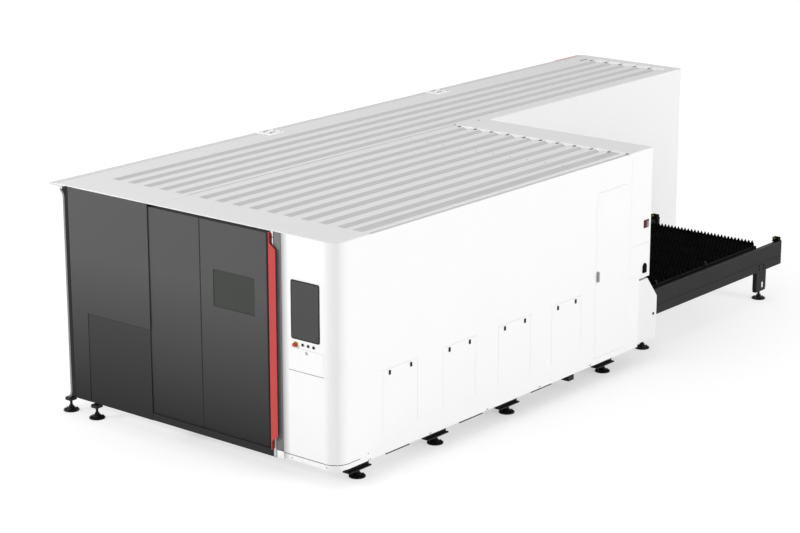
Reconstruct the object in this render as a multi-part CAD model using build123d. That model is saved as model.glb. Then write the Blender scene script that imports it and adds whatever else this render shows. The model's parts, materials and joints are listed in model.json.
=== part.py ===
from build123d import *
import math
import os

os.makedirs("parts", exist_ok=True)

# Lengths are in millimetres. While building, x runs right from the roof's left edge,
# y runs back from the front face and z runs up from the floor.

# Enclosure
body_width = 3507
tube_bay_width = 1426
sheet_bay_length = 4825
tube_bay_length = 8607
roof_height = 2225
panel_lift = 175
sheet = 3
pan_depth = 30
door_gap = 4
wall_gap = 2
hinge_gap = 0.5
bearing_gap = 0.3
overrun = 20

# Roof
roof_lip = 10
corner_radius = 150
seam_x = 1345
seam_width = 24
groove_mouth = 110
groove_floor = 50
groove_depth = 20
groove_front_y = 440
tube_groove_first_x = 390
tube_groove_pitch = 205.5
tube_groove_count = 5
tube_groove_end_margin = 167
tube_groove_rear_y = tube_bay_length - tube_groove_end_margin
sheet_groove_first_x = 1515
last_groove_inset = 332
sheet_groove_count = 9
sheet_groove_pitch = (body_width - last_groove_inset - sheet_groove_first_x) / (sheet_groove_count - 1)
sheet_groove_end_margin = 415
sheet_groove_rear_y = sheet_bay_length - sheet_groove_end_margin
edge_groove_width = 42
eave_root_x = 60
eave_tip_x = -50
eave_drop = 25

# Left wall
left_wall_x = 138
left_edge_depth = 27
cove_radius = 72
flare_radius = 76
flare_degrees = 60
left_wall_bottom = 137

# Lifting plates on the roof
plate_width = 190
plate_length = 208
plate_thickness = 10
plate_y_values = (2802, 5560)
slot_length = 87
slot_width = 24
slot_x_values = (28, 118)
slot_back = 52

# Front
front_panel_left = 197
front_panel_right = 1249
front_bottom = 149
hatch_left = 418
hatch_right = 1243
hatch_top = 1022
hatch_recess = 4
front_sheet = 3
front_return = 28
hinge_strip_width = 20
hinge_strip_depth = 6
column_width = 713
column_left = body_width - column_width
jamb_width = 34
jamb_right = column_left
jamb_left = jamb_right - jamb_width
jamb_depth = 130
handle_clearance = 7
handle_left = jamb_left - handle_clearance
handle_arm_length = 60
door_right = handle_left - handle_arm_length
door_left = 1206
door_bottom = 222
door_top_margin = 40
door_top = roof_height - door_top_margin
door_face_y = 12
door_depth = 30
door_seam_width = 6
window_margin = 147
window_width = 494
window_right = door_right - window_margin
window_left = window_right - window_width
seam_to_window = 162
door_seam_x = window_left - seam_to_window
window_bottom = 1406
window_top = 1747
window_border = 12
window_thickness = 8
sill_left = 1252
sill_gap = 10
sill_right = jamb_left - sill_gap
sill_bottom = 154
sill_depth = 60
track_height = 33
jamb_tie_front = 20
handle_narrow_width = 7
handle_narrow_right = handle_left + handle_narrow_width
handle_wide_width = 81
handle_wide_right = handle_left + handle_wide_width
handle_bottom = 224
handle_crown_drop = 18
handle_crown = roof_height - handle_crown_drop
handle_crown_back = 8
handle_top = door_top
handle_low_narrow = 306
handle_low_wide = 362
handle_high_wide_drop = 160
handle_high_wide = roof_height - handle_high_wide_drop
handle_high_narrow_drop = 109
handle_high_narrow = roof_height - handle_high_narrow_drop
handle_proud = 26
handle_thickness = 3
handle_seat = 6

# Control column
column_left_radius = 110
column_return = 130
skirt_top = 224
skirt_joint = 3
column_side_y = 300
monitor_inset = 193
monitor_width = 326
monitor_left = column_left + monitor_inset
monitor_right = monitor_left + monitor_width
monitor_bottom = 1299
monitor_top = 1828
monitor_proud = 5
monitor_depth = 40
monitor_corner = 18
screen_border = 12
screen_thickness = 2
estop_inset = 242
estop_x = column_left + estop_inset
estop_z = 1250
estop_ring_radius = 30
estop_ring_thickness = 4
estop_cap_radius = 21
estop_cap_length = 18
estop_stem_width = 18
estop_ring_sides = 32
estop_travel = 5
estop_stem_back = 16
button_insets = (324, 387, 450)
button_x_values = [column_left + inset for inset in button_insets]
button_z = 1259
button_size = 22
button_proud = 8
button_back = 14
tray_inset = 153
tray_width = 408
tray_left = column_left + tray_inset
tray_right = tray_left + tray_width
tray_bottom = 1006
tray_top = 1217
tray_depth = 34
keyboard_width = 360
keyboard_height = 130
keyboard_thickness = 14
keyboard_lift = 40

# Right wall
wall_rear_inset = 181
wall_rear_y = sheet_bay_length - wall_rear_inset
wall_seam_inset = 365
wall_top_rear_y = sheet_bay_length - wall_seam_inset
wall_step_z = 893
access_starts = (606, 1454, 2290, 3140)
access_ends = (1090, 1942, 2793, 3623)
access_bottom = 365
access_top = 952
latch_offset = 94
latch_z = 915
latch_width = 24
latch_height = 42
latch_thickness = 6
latch_chamfer = 4
tall_door_inset = 429
tall_door_width = 526
tall_door_rear = sheet_bay_length - tall_door_inset
tall_door_front = tall_door_rear - tall_door_width
tall_door_bottom = 240
tall_door_drop = 300
tall_door_top = roof_height - tall_door_drop
lever_inset = 25
lever_y = tall_door_front + lever_inset
lever_width = 26
lever_bottom = 1027
lever_top = 1133
lever_thickness = 18
lever_chamfer = 6
cover_inset = 343
cover_width = 321
cover_front = sheet_bay_length - cover_inset
cover_rear = cover_front + cover_width
cover_bottom = 921
cover_top = 1248
cover_latch_inset = 43
cover_latch_width = 62
cover_latch_rear = cover_rear - cover_latch_inset
cover_latch_front = cover_latch_rear - cover_latch_width
cover_latch_bottom = 942
cover_latch_top = 1021
cover_latch_thickness = 12
isolator_inset = 43
isolator_width = 85
isolator_rear = sheet_bay_length - isolator_inset
isolator_front = isolator_rear - isolator_width
isolator_bottom = 1411
isolator_top = 1492
isolator_thickness = 6
switch_width = 24
switch_height = 58
switch_thickness = 22
switch_chamfer = 6

# Low rear cover
low_cover_width = 187
low_cover_inner_x = body_width - low_cover_width
low_cover_top_length = 152
low_cover_rear_top_y = wall_rear_y + low_cover_top_length
low_cover_length = 337
low_cover_rear_y = wall_rear_y + low_cover_length
low_cover_shoulder_z = 645
low_cover_bottom = 206
low_cover_top = 870

# Other walls
rear_opening_left = 1575
rear_opening_top = 900

# Feet
pad_radius = 77.5
pad_rim = 12
pad_cone_top = 40
pad_slope_degrees = 59
pad_sides = 20
stem_width = 26
stub_bottom = 70
stub_length = 300
stub_width = 80
stub_flange = 12
stub_web = 14
stub_inset = 126
stub_x = body_width - stub_inset
stub_feet_y = (402, 1504, 2600, 4210)
left_stub_x = 1607
left_stub_feet_y = (402, 4210)
block_y = 3600
block_size = 90
front_feet_x = (124, 480)
front_feet_y = 12
foot_plate_bottom = 107
foot_plate_width = 76
foot_plate_length = 80
rear_feet_x = (300, 1250)
rear_feet_inset = 127
rear_feet_y = tube_bay_length - rear_feet_inset
near_table_reach = 288
near_table_y = sheet_bay_length + near_table_reach
far_table_reach = 2640
far_table_y = sheet_bay_length + far_table_reach

# Bed of the sheet bay
bed_inner_left = 1632
bed_right_inset = 272
bed_inner_right = body_width - bed_right_inset
bed_side_width = 180
bed_front_y = 128
bed_rear_inset = 125
bed_rear_y = sheet_bay_length - bed_rear_inset
bed_top = 810
bed_beam_height = 210
bed_rail_height = 90
bed_post_width = 120
bed_post_y = (188, 1270, 2115, 2965, 3880)
bed_cross_width = 100
outrigger_y = (402, 2600, 4210)
outrigger_height = 60

# Bed of the tube bay
tube_bed_left = 480
tube_bed_right = 1120
tube_bed_front = 1900
tube_bed_inset = 157
tube_bed_rear = tube_bay_length - tube_bed_inset
tube_bed_top = 425
tube_bed_wall = 12
tube_tie_bottom = 137
tube_tie_top = 197
tube_tie_width = 60
last_tie_inset = 187
tube_tie_y = (32, 2400, 5200, tube_bay_length - last_tie_inset)
tube_sill_width = 70
wall_tie_right = 1417

# Rails
rail_width = 40
rail_height = 30
tube_rail_height = 25
tube_rail_x = (560, 1040)
rack_width = 24
rack_height = 20

# Pallets and table
pallet_side_width = 30
pallet_frame_bottom = 530
pallet_frame_top = 610
slat_bottom = 554
slat_top = 614
tooth_height = 35
tooth_count = 35
slat_thickness = 6
slat_count = 8
slat_end_margin = 60
pallet_length = 3050
pallet_overlap = 455
pallet_out_y = sheet_bay_length - pallet_overlap
pallet_in_y = 400
pallet_drop = 190
pallet_rail_width = 34
pallet_rail_thickness = 12
pallet_rail_front = 390
table_beam_thickness = 50
table_bottom = 320
table_top = 584
table_groove_z = 419
table_groove_width = 8
table_groove_depth = 4
table_wall = 6
table_reach = 3060
table_rear_y = sheet_bay_length + table_reach
table_end_depth = 50
table_end_top = 440
table_leg_length = 200
table_leg_bottom = 112
sensor_inset = 63
sensor_y = table_rear_y - sensor_inset
sensor_length = 60
sensor_top = 634
sensor_width = 44
pallet_rail_inset = 75
pallet_rail_rear = table_rear_y - pallet_rail_inset

# Gantry and head
gantry_front = 560
gantry_depth = 280
gantry_bottom = 905
gantry_top = 1205
gantry_left = 560
gantry_inset = 112
gantry_right = body_width - gantry_inset
gantry_wall = 10
truck_front = 500
truck_length = 400
truck_width = 120
carriage_depth = 140
carriage_half = 130
carriage_bottom = 912
carriage_top = 1290
carriage_x = 1900
head_depth = 60
head_half = 60
head_bottom = 1010
head_top = 1250
barrel_width = 76
barrel_bottom = 935
nozzle_width = 16
nozzle_bottom = 880

# Chucks
chuck_x = 800
chuck_z = 700
rotor_radius = 170
rotor_bore = 110
rotor_length = 160
rotor_sides = 32
jaw_width = 50
jaw_length = 70
jaw_inset = 20
housing_half = 240
housing_top = 872
housing_bore = 120
rear_housing_inset = 707
rear_housing_front = tube_bay_length - rear_housing_inset
rear_housing_length = 350
front_housing_front = 2100
front_housing_length = 300

# Cabinets
cabinet_gap = 39
cabinet_width = 233
cabinet_outer_x = body_width - cabinet_gap
cabinet_inner_x = cabinet_outer_x - cabinet_width
cabinet_rear_gap = 16
cabinet_length = 390
cabinet_rear = tall_door_rear - cabinet_rear_gap
cabinet_front = cabinet_rear - cabinet_length
cabinet_drop = 25
cabinet_top = tall_door_top - cabinet_drop
cabinet_wall = 8
source_left = 1800
source_right = 2600
source_length = 425
source_front = sheet_bay_length - source_length
source_bottom = 1500
source_top = 1700

low_corner = (Align.MIN, Align.MIN, Align.MIN)
wall_top = roof_height - roof_lip
right_x = body_width
pan_x = right_x - pan_depth
bed_outer_left = bed_inner_left - bed_side_width
bed_outer_right = bed_inner_right + bed_side_width


def block(x0, x1, y0, y1, z0, z1):
    """A box between two limits on each axis."""
    return Pos(x0, y0, z0) * Box(x1 - x0, y1 - y0, z1 - z0, align=low_corner)


def side_prism(points, x0, x1):
    """An outline of (y, z) points carried from x0 to x1."""
    face = Plane.YZ.offset(x0) * make_face(Polyline(*points, close=True))
    return extrude(face, x1 - x0, dir=(1, 0, 0))


def end_prism(points, y0, y1):
    """An outline of (x, z) points carried from y0 to y1."""
    front = Plane(origin=(0, y0, 0), x_dir=(1, 0, 0), z_dir=(0, -1, 0))
    face = front * make_face(Polyline(*points, close=True))
    return extrude(face, y1 - y0, dir=(0, 1, 0))


def plan_prism(points, z0, z1):
    """An outline of (x, y) points carried from z0 to z1."""
    face = Plane.XY.offset(z0) * make_face(Polyline(*points, close=True))
    return extrude(face, z1 - z0, dir=(0, 0, 1))


def right_pan(y0, y1, z0, z1):
    """A folded door or cover in the right wall, open toward the inside."""
    outer = block(pan_x, right_x, y0, y1, z0, z1)
    inner = block(pan_x - overrun, right_x - sheet, y0 + sheet, y1 - sheet, z0 + sheet, z1 - sheet)
    return outer - inner


def groove(centre_x, y0, y1, grow):
    """The trough of one pressed roof groove, grown by a wall thickness."""
    half_mouth = groove_mouth / 2 + grow
    half_floor = groove_floor / 2 + grow
    floor_z = roof_height - groove_depth - grow
    outline = [
        (centre_x - half_mouth, roof_height),
        (centre_x + half_mouth, roof_height),
        (centre_x + half_floor, floor_z),
        (centre_x - half_floor, floor_z),
    ]
    return end_prism(outline, y0 - grow, y1 + grow)


def roof_sheet(outline, grooves, rear_y, corner_edges):
    """A roof tray: top sheet, folded lip all round and pressed grooves."""
    tray = plan_prism(outline, roof_height - roof_lip, roof_height)
    if corner_edges:
        corner = tray.edges().filter_by(Axis.Z).sort_by(Axis.X)[-2:].sort_by(Axis.Y)[0]
        tray = fillet(corner, corner_radius)
    top = tray.faces().sort_by(Axis.Z)[-1]
    hollow = extrude(offset(top, -sheet, kind=Kind.INTERSECTION), roof_lip - sheet, dir=(0, 0, -1))
    tray = tray - Pos(0, 0, -sheet) * hollow
    for centre_x in grooves:
        tray = tray + groove(centre_x, groove_front_y, rear_y, sheet)
    for centre_x in grooves:
        tray = tray - groove(centre_x, groove_front_y, rear_y, 0)
    return tray


def make_sheet_roof():
    outline = [(seam_x, 0), (right_x, 0), (right_x, sheet_bay_length), (seam_x, sheet_bay_length)]
    centres = [sheet_groove_first_x + sheet_groove_pitch * i for i in range(sheet_groove_count)]
    roof = roof_sheet(outline, centres, sheet_groove_rear_y, True)
    edge_x = right_x - edge_groove_width
    cut = end_prism(
        [
            (edge_x, roof_height),
            (right_x + overrun, roof_height),
            (right_x, wall_top + sheet),
            (edge_x + sheet, wall_top + sheet),
        ],
        groove_front_y,
        sheet_groove_rear_y,
    )
    shelf = block(
        edge_x - sheet,
        right_x,
        groove_front_y - sheet,
        sheet_groove_rear_y + sheet,
        wall_top,
        roof_height,
    )
    roof = roof + shelf - cut
    seam = block(
        seam_x,
        seam_x + seam_width,
        -overrun,
        sheet_groove_rear_y,
        roof_height - sheet / 2,
        roof_height + overrun,
    )
    return roof - seam


def make_tube_roof():
    outline = [
        (eave_root_x, 0),
        (seam_x, 0),
        (seam_x, sheet_bay_length),
        (tube_bay_width, sheet_bay_length),
        (tube_bay_width, tube_bay_length),
        (eave_root_x, tube_bay_length),
    ]
    centres = [tube_groove_first_x + tube_groove_pitch * i for i in range(tube_groove_count)]
    roof = roof_sheet(outline, centres, tube_groove_rear_y, False)
    eave = end_prism(
        [
            (eave_root_x, roof_height),
            (eave_tip_x, roof_height - eave_drop + sheet),
            (eave_tip_x, roof_height - eave_drop),
            (eave_root_x, roof_height - sheet),
        ],
        0,
        tube_bay_length,
    )
    return roof + eave


def make_left_wall():
    soffit_z = roof_height - eave_drop - sheet
    cove_z = soffit_z - cove_radius
    foot_z = left_wall_bottom + flare_radius * math.sin(math.radians(flare_degrees))
    centre_x = left_wall_x - cove_radius
    foot_x = left_wall_x - flare_radius

    def section(thickness):
        cove = CenterArc((centre_x, cove_z), cove_radius, 0, 90)
        cove_in = CenterArc((centre_x, cove_z), cove_radius + sheet, 0, 90)
        flare = CenterArc((foot_x, foot_z), flare_radius, -flare_degrees, flare_degrees)
        flare_in = CenterArc((foot_x, foot_z), flare_radius + thickness, -flare_degrees, flare_degrees)
        tip = (eave_tip_x, soffit_z)
        tip_in = (eave_tip_x, soffit_z + sheet)
        shoulder = (centre_x + cove_radius + sheet, cove_z)
        edge = (left_wall_x + thickness, cove_z)
        lines = [
            flare,
            Line(flare @ 1, cove @ 0),
            cove,
            Line(cove @ 1, tip),
            Line(tip, tip_in),
            Line(tip_in, cove_in @ 1),
            cove_in,
            Line(edge, flare_in @ 1),
            flare_in,
            Line(flare_in @ 0, flare @ 0),
        ]
        if thickness > sheet:
            lines.append(Line(shoulder, edge))
        return make_face(lines)

    front = Plane(origin=(0, 0, 0), x_dir=(1, 0, 0), z_dir=(0, -1, 0))
    wall = extrude(front * section(sheet), tube_bay_length, dir=(0, 1, 0))
    edge = extrude(front * section(left_edge_depth), pan_depth, dir=(0, 1, 0))
    slope = (eave_drop - sheet) / (eave_root_x - eave_tip_x)
    tip_z = soffit_z + sheet
    cap_x = left_wall_x + left_edge_depth
    cove = CenterArc((centre_x, cove_z), cove_radius, 0, 90)
    cap_points = [
        cove @ 1,
        (eave_tip_x, soffit_z),
        (eave_tip_x, tip_z),
        (eave_tip_x + (wall_top - tip_z) / slope, wall_top),
        (cap_x, wall_top),
        (cap_x, cove_z),
        cove @ 0,
    ]
    cap = extrude(front * make_face([cove, Polyline(*cap_points)]), pan_depth, dir=(0, 1, 0))
    below = block(
        eave_tip_x,
        front_panel_left,
        -overrun,
        tube_bay_length + overrun,
        foot_z - cove_radius * 2,
        left_wall_bottom,
    )
    return wall + edge + cap - below


def make_front_panel():
    outer = block(front_panel_left, front_panel_right, 0, front_sheet, front_bottom, wall_top)
    opening = block(
        hatch_left,
        front_panel_right + overrun,
        -overrun,
        overrun,
        front_bottom - overrun,
        hatch_top + door_gap,
    )
    left_return = block(
        left_wall_x + left_edge_depth,
        front_panel_left,
        front_return - sheet,
        front_return,
        front_bottom,
        wall_top,
    )
    left_web = block(
        front_panel_left,
        front_panel_left + sheet,
        0,
        front_return,
        front_bottom,
        wall_top,
    )
    strip_back = front_sheet + hinge_strip_depth
    backing = block(
        hatch_left - hinge_strip_width,
        hatch_left,
        front_sheet,
        strip_back,
        front_bottom,
        hatch_top,
    )
    joint = block(
        front_panel_left,
        hatch_left,
        -overrun,
        front_sheet / 2,
        hatch_top,
        hatch_top + door_gap,
    )
    return outer - opening - joint + left_return + left_web + backing


def make_tube_hatch():
    outer = block(
        hatch_left + hinge_gap,
        hatch_right,
        hatch_recess,
        hatch_recess + front_sheet,
        front_bottom,
        hatch_top,
    )
    return outer


def make_door_leaf():
    face = block(door_left, door_right, door_face_y, door_face_y + door_depth, door_bottom, door_top)
    hollow = block(
        door_left + sheet,
        door_right - sheet,
        door_face_y + sheet,
        door_face_y + door_depth + overrun,
        door_bottom + sheet,
        door_top - sheet,
    )
    window = block(
        window_left,
        window_right,
        door_face_y - overrun,
        door_face_y + overrun,
        window_bottom,
        window_top,
    )
    seam = block(
        door_seam_x,
        door_seam_x + door_seam_width,
        door_face_y - overrun,
        door_face_y + sheet / 2,
        door_bottom - overrun,
        door_top + overrun,
    )
    return face - hollow - window - seam


def make_door_window():
    back_y = door_face_y + sheet
    return block(
        window_left - window_border,
        window_right + window_border,
        back_y,
        back_y + window_thickness,
        window_bottom - window_border,
        window_top + window_border,
    )


def make_door_handle():
    outline = [
        (handle_left, handle_bottom),
        (handle_narrow_right, handle_bottom),
        (handle_narrow_right, handle_low_narrow),
        (handle_wide_right, handle_low_wide),
        (handle_wide_right, handle_high_wide),
        (handle_narrow_right, handle_high_narrow),
        (handle_narrow_right, handle_crown),
        (handle_left, handle_crown),
    ]
    front = -handle_proud
    plate = end_prism(outline, front, front + handle_thickness)
    back = door_face_y + door_depth
    web = block(
        handle_left,
        handle_left + handle_thickness,
        front + handle_thickness,
        back,
        handle_bottom,
        handle_top,
    )
    crown = block(
        handle_left,
        handle_left + handle_thickness,
        front + handle_thickness,
        handle_crown_back,
        handle_top,
        handle_crown,
    )
    arm = block(door_right, handle_left, door_face_y + handle_seat, back, handle_bottom, handle_top)
    return plate + web + crown + arm


def make_door_frame():
    sill = block(sill_left, sill_right, 0, sill_depth, sill_bottom, door_bottom - hinge_gap)
    track_top = roof_height - sheet
    track = block(
        seam_x + sheet, sill_right, door_face_y, sill_depth, track_top - track_height, track_top
    )
    jamb = block(jamb_left, jamb_right, 0, jamb_depth, sill_bottom, wall_top)
    jamb_tie = block(
        sill_right,
        jamb_left,
        jamb_tie_front,
        sill_depth,
        sill_bottom,
        door_bottom - hinge_gap,
    )
    return [sill + jamb_tie, track, jamb]


def column_outline(inset):
    """The column's plan outline, moved in by a wall thickness."""
    left_x = column_left + inset
    round_in = RadiusArc(
        (left_x, column_left_radius),
        (column_left + column_left_radius, inset),
        -(column_left_radius - inset),
    )
    corner = RadiusArc(
        (right_x - corner_radius, inset),
        (right_x - inset, corner_radius),
        -(corner_radius - inset),
    )
    return [
        Line((left_x, column_return), round_in @ 0),
        round_in,
        Line(round_in @ 1, corner @ 0),
        corner,
        Line(corner @ 1, (right_x - inset, column_side_y)),
    ]


def make_control_column():
    outer = column_outline(0)
    inner = column_outline(sheet)
    loop = outer + inner
    loop.append(Line(outer[0] @ 0, inner[0] @ 0))
    loop.append(Line(outer[-1] @ 1, inner[-1] @ 1))
    face = Plane.XY.offset(panel_lift) * make_face(loop)
    column = extrude(face, wall_top - panel_lift, dir=(0, 0, 1))
    step = column_outline(sheet / 2)
    joint = outer + step
    joint.append(Line(outer[0] @ 0, step[0] @ 0))
    joint.append(Line(outer[-1] @ 1, step[-1] @ 1))
    column = column - extrude(Plane.XY.offset(skirt_top) * make_face(joint), skirt_joint, dir=(0, 0, 1))
    shell = block(
        monitor_left + screen_border,
        monitor_right - screen_border,
        -overrun,
        overrun,
        monitor_bottom + screen_border,
        monitor_top - screen_border,
    )
    tray = block(
        tray_left - wall_gap,
        tray_right + wall_gap,
        -overrun,
        overrun,
        tray_bottom - hinge_gap,
        tray_top + wall_gap,
    )
    column = column - shell - tray
    half = button_size / 2 + bearing_gap
    for x in button_x_values:
        column = column - block(x - half, x + half, -overrun, overrun, button_z - half, button_z + half)
    return column - estop_passage()


def make_monitor():
    bezel = block(monitor_left, monitor_right, -monitor_proud, 0, monitor_bottom, monitor_top)
    bezel = fillet(bezel.edges().filter_by(Axis.Y), monitor_corner)
    body = block(
        monitor_left + screen_border,
        monitor_right - screen_border,
        0,
        monitor_depth,
        monitor_bottom + screen_border,
        monitor_top - screen_border,
    )
    pocket = block(
        monitor_left + screen_border,
        monitor_right - screen_border,
        -monitor_proud - overrun,
        -monitor_proud + screen_thickness,
        monitor_bottom + screen_border,
        monitor_top - screen_border,
    )
    return bezel + body - pocket


def make_monitor_screen():
    return block(
        monitor_left + screen_border,
        monitor_right - screen_border,
        -monitor_proud,
        -monitor_proud + screen_thickness,
        monitor_bottom + screen_border,
        monitor_top - screen_border,
    )


def many_sided_disc(radius, sides, x, z, y0, y1):
    """A disc facing the front, with flats instead of a round rim."""
    seat = Plane(origin=(x, y0, z), x_dir=(1, 0, 0), z_dir=(0, -1, 0))
    return extrude(seat * RegularPolygon(radius, sides), y1 - y0, dir=(0, 1, 0))


def estop_passage():
    """The square hole that guides the stop button's stem."""
    half = estop_stem_width / 2 + bearing_gap
    return block(estop_x - half, estop_x + half, -overrun, overrun, estop_z - half, estop_z + half)


def make_estop_ring():
    ring = many_sided_disc(
        estop_ring_radius,
        estop_ring_sides,
        estop_x,
        estop_z,
        -estop_ring_thickness,
        0,
    )
    return ring - estop_passage()


def make_estop_button():
    cap_back = -estop_ring_thickness - estop_travel - door_gap
    half = estop_stem_width / 2
    cap = many_sided_disc(
        estop_cap_radius,
        estop_ring_sides,
        estop_x,
        estop_z,
        cap_back - estop_cap_length,
        cap_back,
    )
    stem = block(
        estop_x - half,
        estop_x + half,
        cap_back,
        estop_stem_back,
        estop_z - half,
        estop_z + half,
    )
    return cap + stem


def make_push_button(x):
    half = button_size / 2
    button = block(x - half, x + half, -button_proud, button_back, button_z - half, button_z + half)
    return button


def make_keyboard_tray():
    outer = block(tray_left, tray_right, 0, tray_depth, tray_bottom, tray_top)
    inner = block(
        tray_left + sheet,
        tray_right - sheet,
        sheet,
        tray_depth + overrun,
        tray_bottom + sheet,
        tray_top - sheet,
    )
    return outer - inner


def make_keyboard():
    middle = (tray_left + tray_right) / 2
    left = middle - keyboard_width / 2
    base = tray_bottom + keyboard_lift
    return block(
        left,
        left + keyboard_width,
        sheet,
        sheet + keyboard_thickness,
        base,
        base + keyboard_height,
    )


def make_right_wall():
    outline = [
        (column_side_y, panel_lift),
        (wall_rear_y, panel_lift),
        (wall_rear_y, wall_step_z),
        (sheet_bay_length, wall_step_z),
        (sheet_bay_length, wall_top),
        (column_side_y, wall_top),
    ]
    wall = side_prism(outline, right_x - sheet, right_x)
    top_fold = block(
        pan_x,
        right_x,
        column_side_y,
        sheet_bay_length - pan_depth,
        wall_top - sheet,
        wall_top,
    )
    low_fold = block(pan_x, right_x, column_side_y, wall_rear_y, panel_lift, panel_lift + sheet)
    wall = wall + top_fold + low_fold
    for y0, y1 in zip(access_starts, access_ends):
        wall = wall - wall_opening(
            y0 - wall_gap,
            y1 + wall_gap,
            access_bottom - hinge_gap,
            access_top + wall_gap,
        )
    wall = wall - wall_opening(
        tall_door_front - wall_gap,
        tall_door_rear + hinge_gap,
        tall_door_bottom - wall_gap,
        tall_door_top + wall_gap,
    )
    wall = wall - wall_opening(
        cover_front - hinge_gap, cover_rear + wall_gap, cover_bottom - wall_gap, cover_top + wall_gap
    )
    seam = block(
        right_x - sheet / 2,
        right_x + overrun,
        wall_top_rear_y,
        wall_top_rear_y + door_gap,
        wall_step_z,
        wall_top + overrun,
    )
    return wall - seam


def wall_opening(y0, y1, z0, z1):
    """The opening of a door in the right wall."""
    return block(right_x - sheet - overrun, right_x + overrun, y0, y1, z0, z1)


def make_access_door(index):
    return right_pan(access_starts[index], access_ends[index], access_bottom, access_top)


def turn_latch(y, z, width, height, thickness, chamfer_size):
    """A latch body seated on the outside of a door."""
    body = block(
        right_x,
        right_x + thickness,
        y - width / 2,
        y + width / 2,
        z - height / 2,
        z + height / 2,
    )
    return chamfer(body.edges().filter_by(Axis.X), chamfer_size)


def make_access_latch(index, side):
    y = access_starts[index] + latch_offset
    if side == 1:
        y = access_ends[index] - latch_offset
    return turn_latch(y, latch_z, latch_width, latch_height, latch_thickness, latch_chamfer)


def make_tall_door():
    return right_pan(tall_door_front, tall_door_rear, tall_door_bottom, tall_door_top)


def make_tall_door_handle():
    middle = (lever_bottom + lever_top) / 2
    return turn_latch(
        lever_y,
        middle,
        lever_width,
        lever_top - lever_bottom,
        lever_thickness,
        lever_chamfer,
    )


def make_rear_cover():
    return right_pan(cover_front, cover_rear, cover_bottom, cover_top)


def make_rear_cover_latch():
    y = (cover_latch_front + cover_latch_rear) / 2
    z = (cover_latch_bottom + cover_latch_top) / 2
    width = cover_latch_rear - cover_latch_front
    return turn_latch(
        y,
        z,
        width,
        cover_latch_top - cover_latch_bottom,
        cover_latch_thickness,
        latch_chamfer,
    )


def make_isolator_plate():
    return block(
        right_x,
        right_x + isolator_thickness,
        isolator_front,
        isolator_rear,
        isolator_bottom,
        isolator_top,
    )


def make_isolator_switch():
    y = (isolator_front + isolator_rear) / 2
    z = (isolator_bottom + isolator_top) / 2
    body = turn_latch(y, z, switch_width, switch_height, switch_thickness, switch_chamfer)
    return Pos(isolator_thickness, 0, 0) * body


def make_low_cover():
    outline = [
        (wall_rear_y, low_cover_top),
        (low_cover_rear_top_y, low_cover_top),
        (low_cover_rear_y, low_cover_shoulder_z),
        (low_cover_rear_y, low_cover_bottom),
        (wall_rear_y, low_cover_bottom),
    ]
    solid = side_prism(outline, low_cover_inner_x, right_x)
    hollow = side_prism(
        [
            (wall_rear_y - overrun, low_cover_top - sheet),
            (low_cover_rear_top_y - sheet, low_cover_top - sheet),
            (low_cover_rear_y - sheet, low_cover_shoulder_z - sheet),
            (low_cover_rear_y - sheet, low_cover_bottom - overrun),
            (wall_rear_y - overrun, low_cover_bottom - overrun),
        ],
        low_cover_inner_x - overrun,
        right_x - sheet,
    )
    return solid - hollow


def make_tube_side_wall():
    return block(
        tube_bay_width - sheet, tube_bay_width, sheet_bay_length, tube_bay_length, panel_lift, wall_top
    ) + block(
        tube_bay_width - pan_depth,
        tube_bay_width,
        sheet_bay_length,
        tube_bay_length,
        panel_lift,
        panel_lift + sheet,
    )


def make_tube_rear_wall():
    return block(
        left_wall_x + sheet,
        tube_bay_width - sheet,
        tube_bay_length - sheet,
        tube_bay_length,
        panel_lift,
        wall_top,
    ) + block(
        left_wall_x + sheet,
        tube_bay_width - pan_depth,
        tube_bay_length - pan_depth,
        tube_bay_length,
        panel_lift,
        panel_lift + sheet,
    )


def make_sheet_rear_wall():
    y0 = sheet_bay_length - sheet
    outline = [
        (tube_bay_width, panel_lift),
        (rear_opening_left, panel_lift),
        (rear_opening_left, rear_opening_top),
        (right_x - sheet, rear_opening_top),
        (right_x - sheet, wall_top),
        (tube_bay_width, wall_top),
    ]
    wall = end_prism(outline, y0, sheet_bay_length)
    fold = block(
        rear_opening_left,
        right_x - pan_depth,
        sheet_bay_length - pan_depth,
        y0,
        rear_opening_top,
        rear_opening_top + sheet,
    )
    return wall + fold


def make_roof_brackets():
    plates = []
    for y in plate_y_values:
        plate = block(0, plate_width, y, y + plate_length, roof_height, roof_height + plate_thickness)
        slant = eave_root_x
        drop = (eave_drop - sheet) * slant / (eave_root_x - eave_tip_x)
        foot = end_prism(
            [(0, roof_height), (slant, roof_height), (0, roof_height - drop)], y, y + plate_length
        )
        plate = plate + foot
        for x in slot_x_values:
            cut = block(
                x,
                x + slot_width,
                y + slot_back,
                y + slot_back + slot_length,
                roof_height - overrun - eave_drop,
                roof_height + overrun,
            )
            plate = plate - cut
        plates.append(plate)
    return plates


def levelling_foot(x, y, top):
    """A pad with a coned top and its stem."""
    outline = RegularPolygon(pad_radius, pad_sides)
    rim = extrude(outline, pad_rim)
    cone = extrude(Plane.XY.offset(pad_rim) * outline, pad_cone_top - pad_rim, taper=pad_slope_degrees)
    half = stem_width / 2
    stem = block(-half, half, -half, half, pad_cone_top, top)
    return Pos(x, y, 0) * (rim + cone + stem)


def foot_seats():
    """Every foot's place and the height its stem reaches."""
    seats = [(stub_x, y, stub_bottom) for y in stub_feet_y]
    seats += [(left_stub_x, y, stub_bottom) for y in left_stub_feet_y]
    seats += [(x, front_feet_y, foot_plate_bottom) for x in front_feet_x]
    seats += [(x, rear_feet_y, foot_plate_bottom) for x in rear_feet_x]
    left_leg = bed_inner_left - table_beam_thickness / 2
    right_leg = bed_inner_right + table_beam_thickness / 2
    seats += [(x, y, table_leg_bottom) for x in (left_leg, right_leg) for y in (near_table_y, far_table_y)]
    return seats


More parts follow.
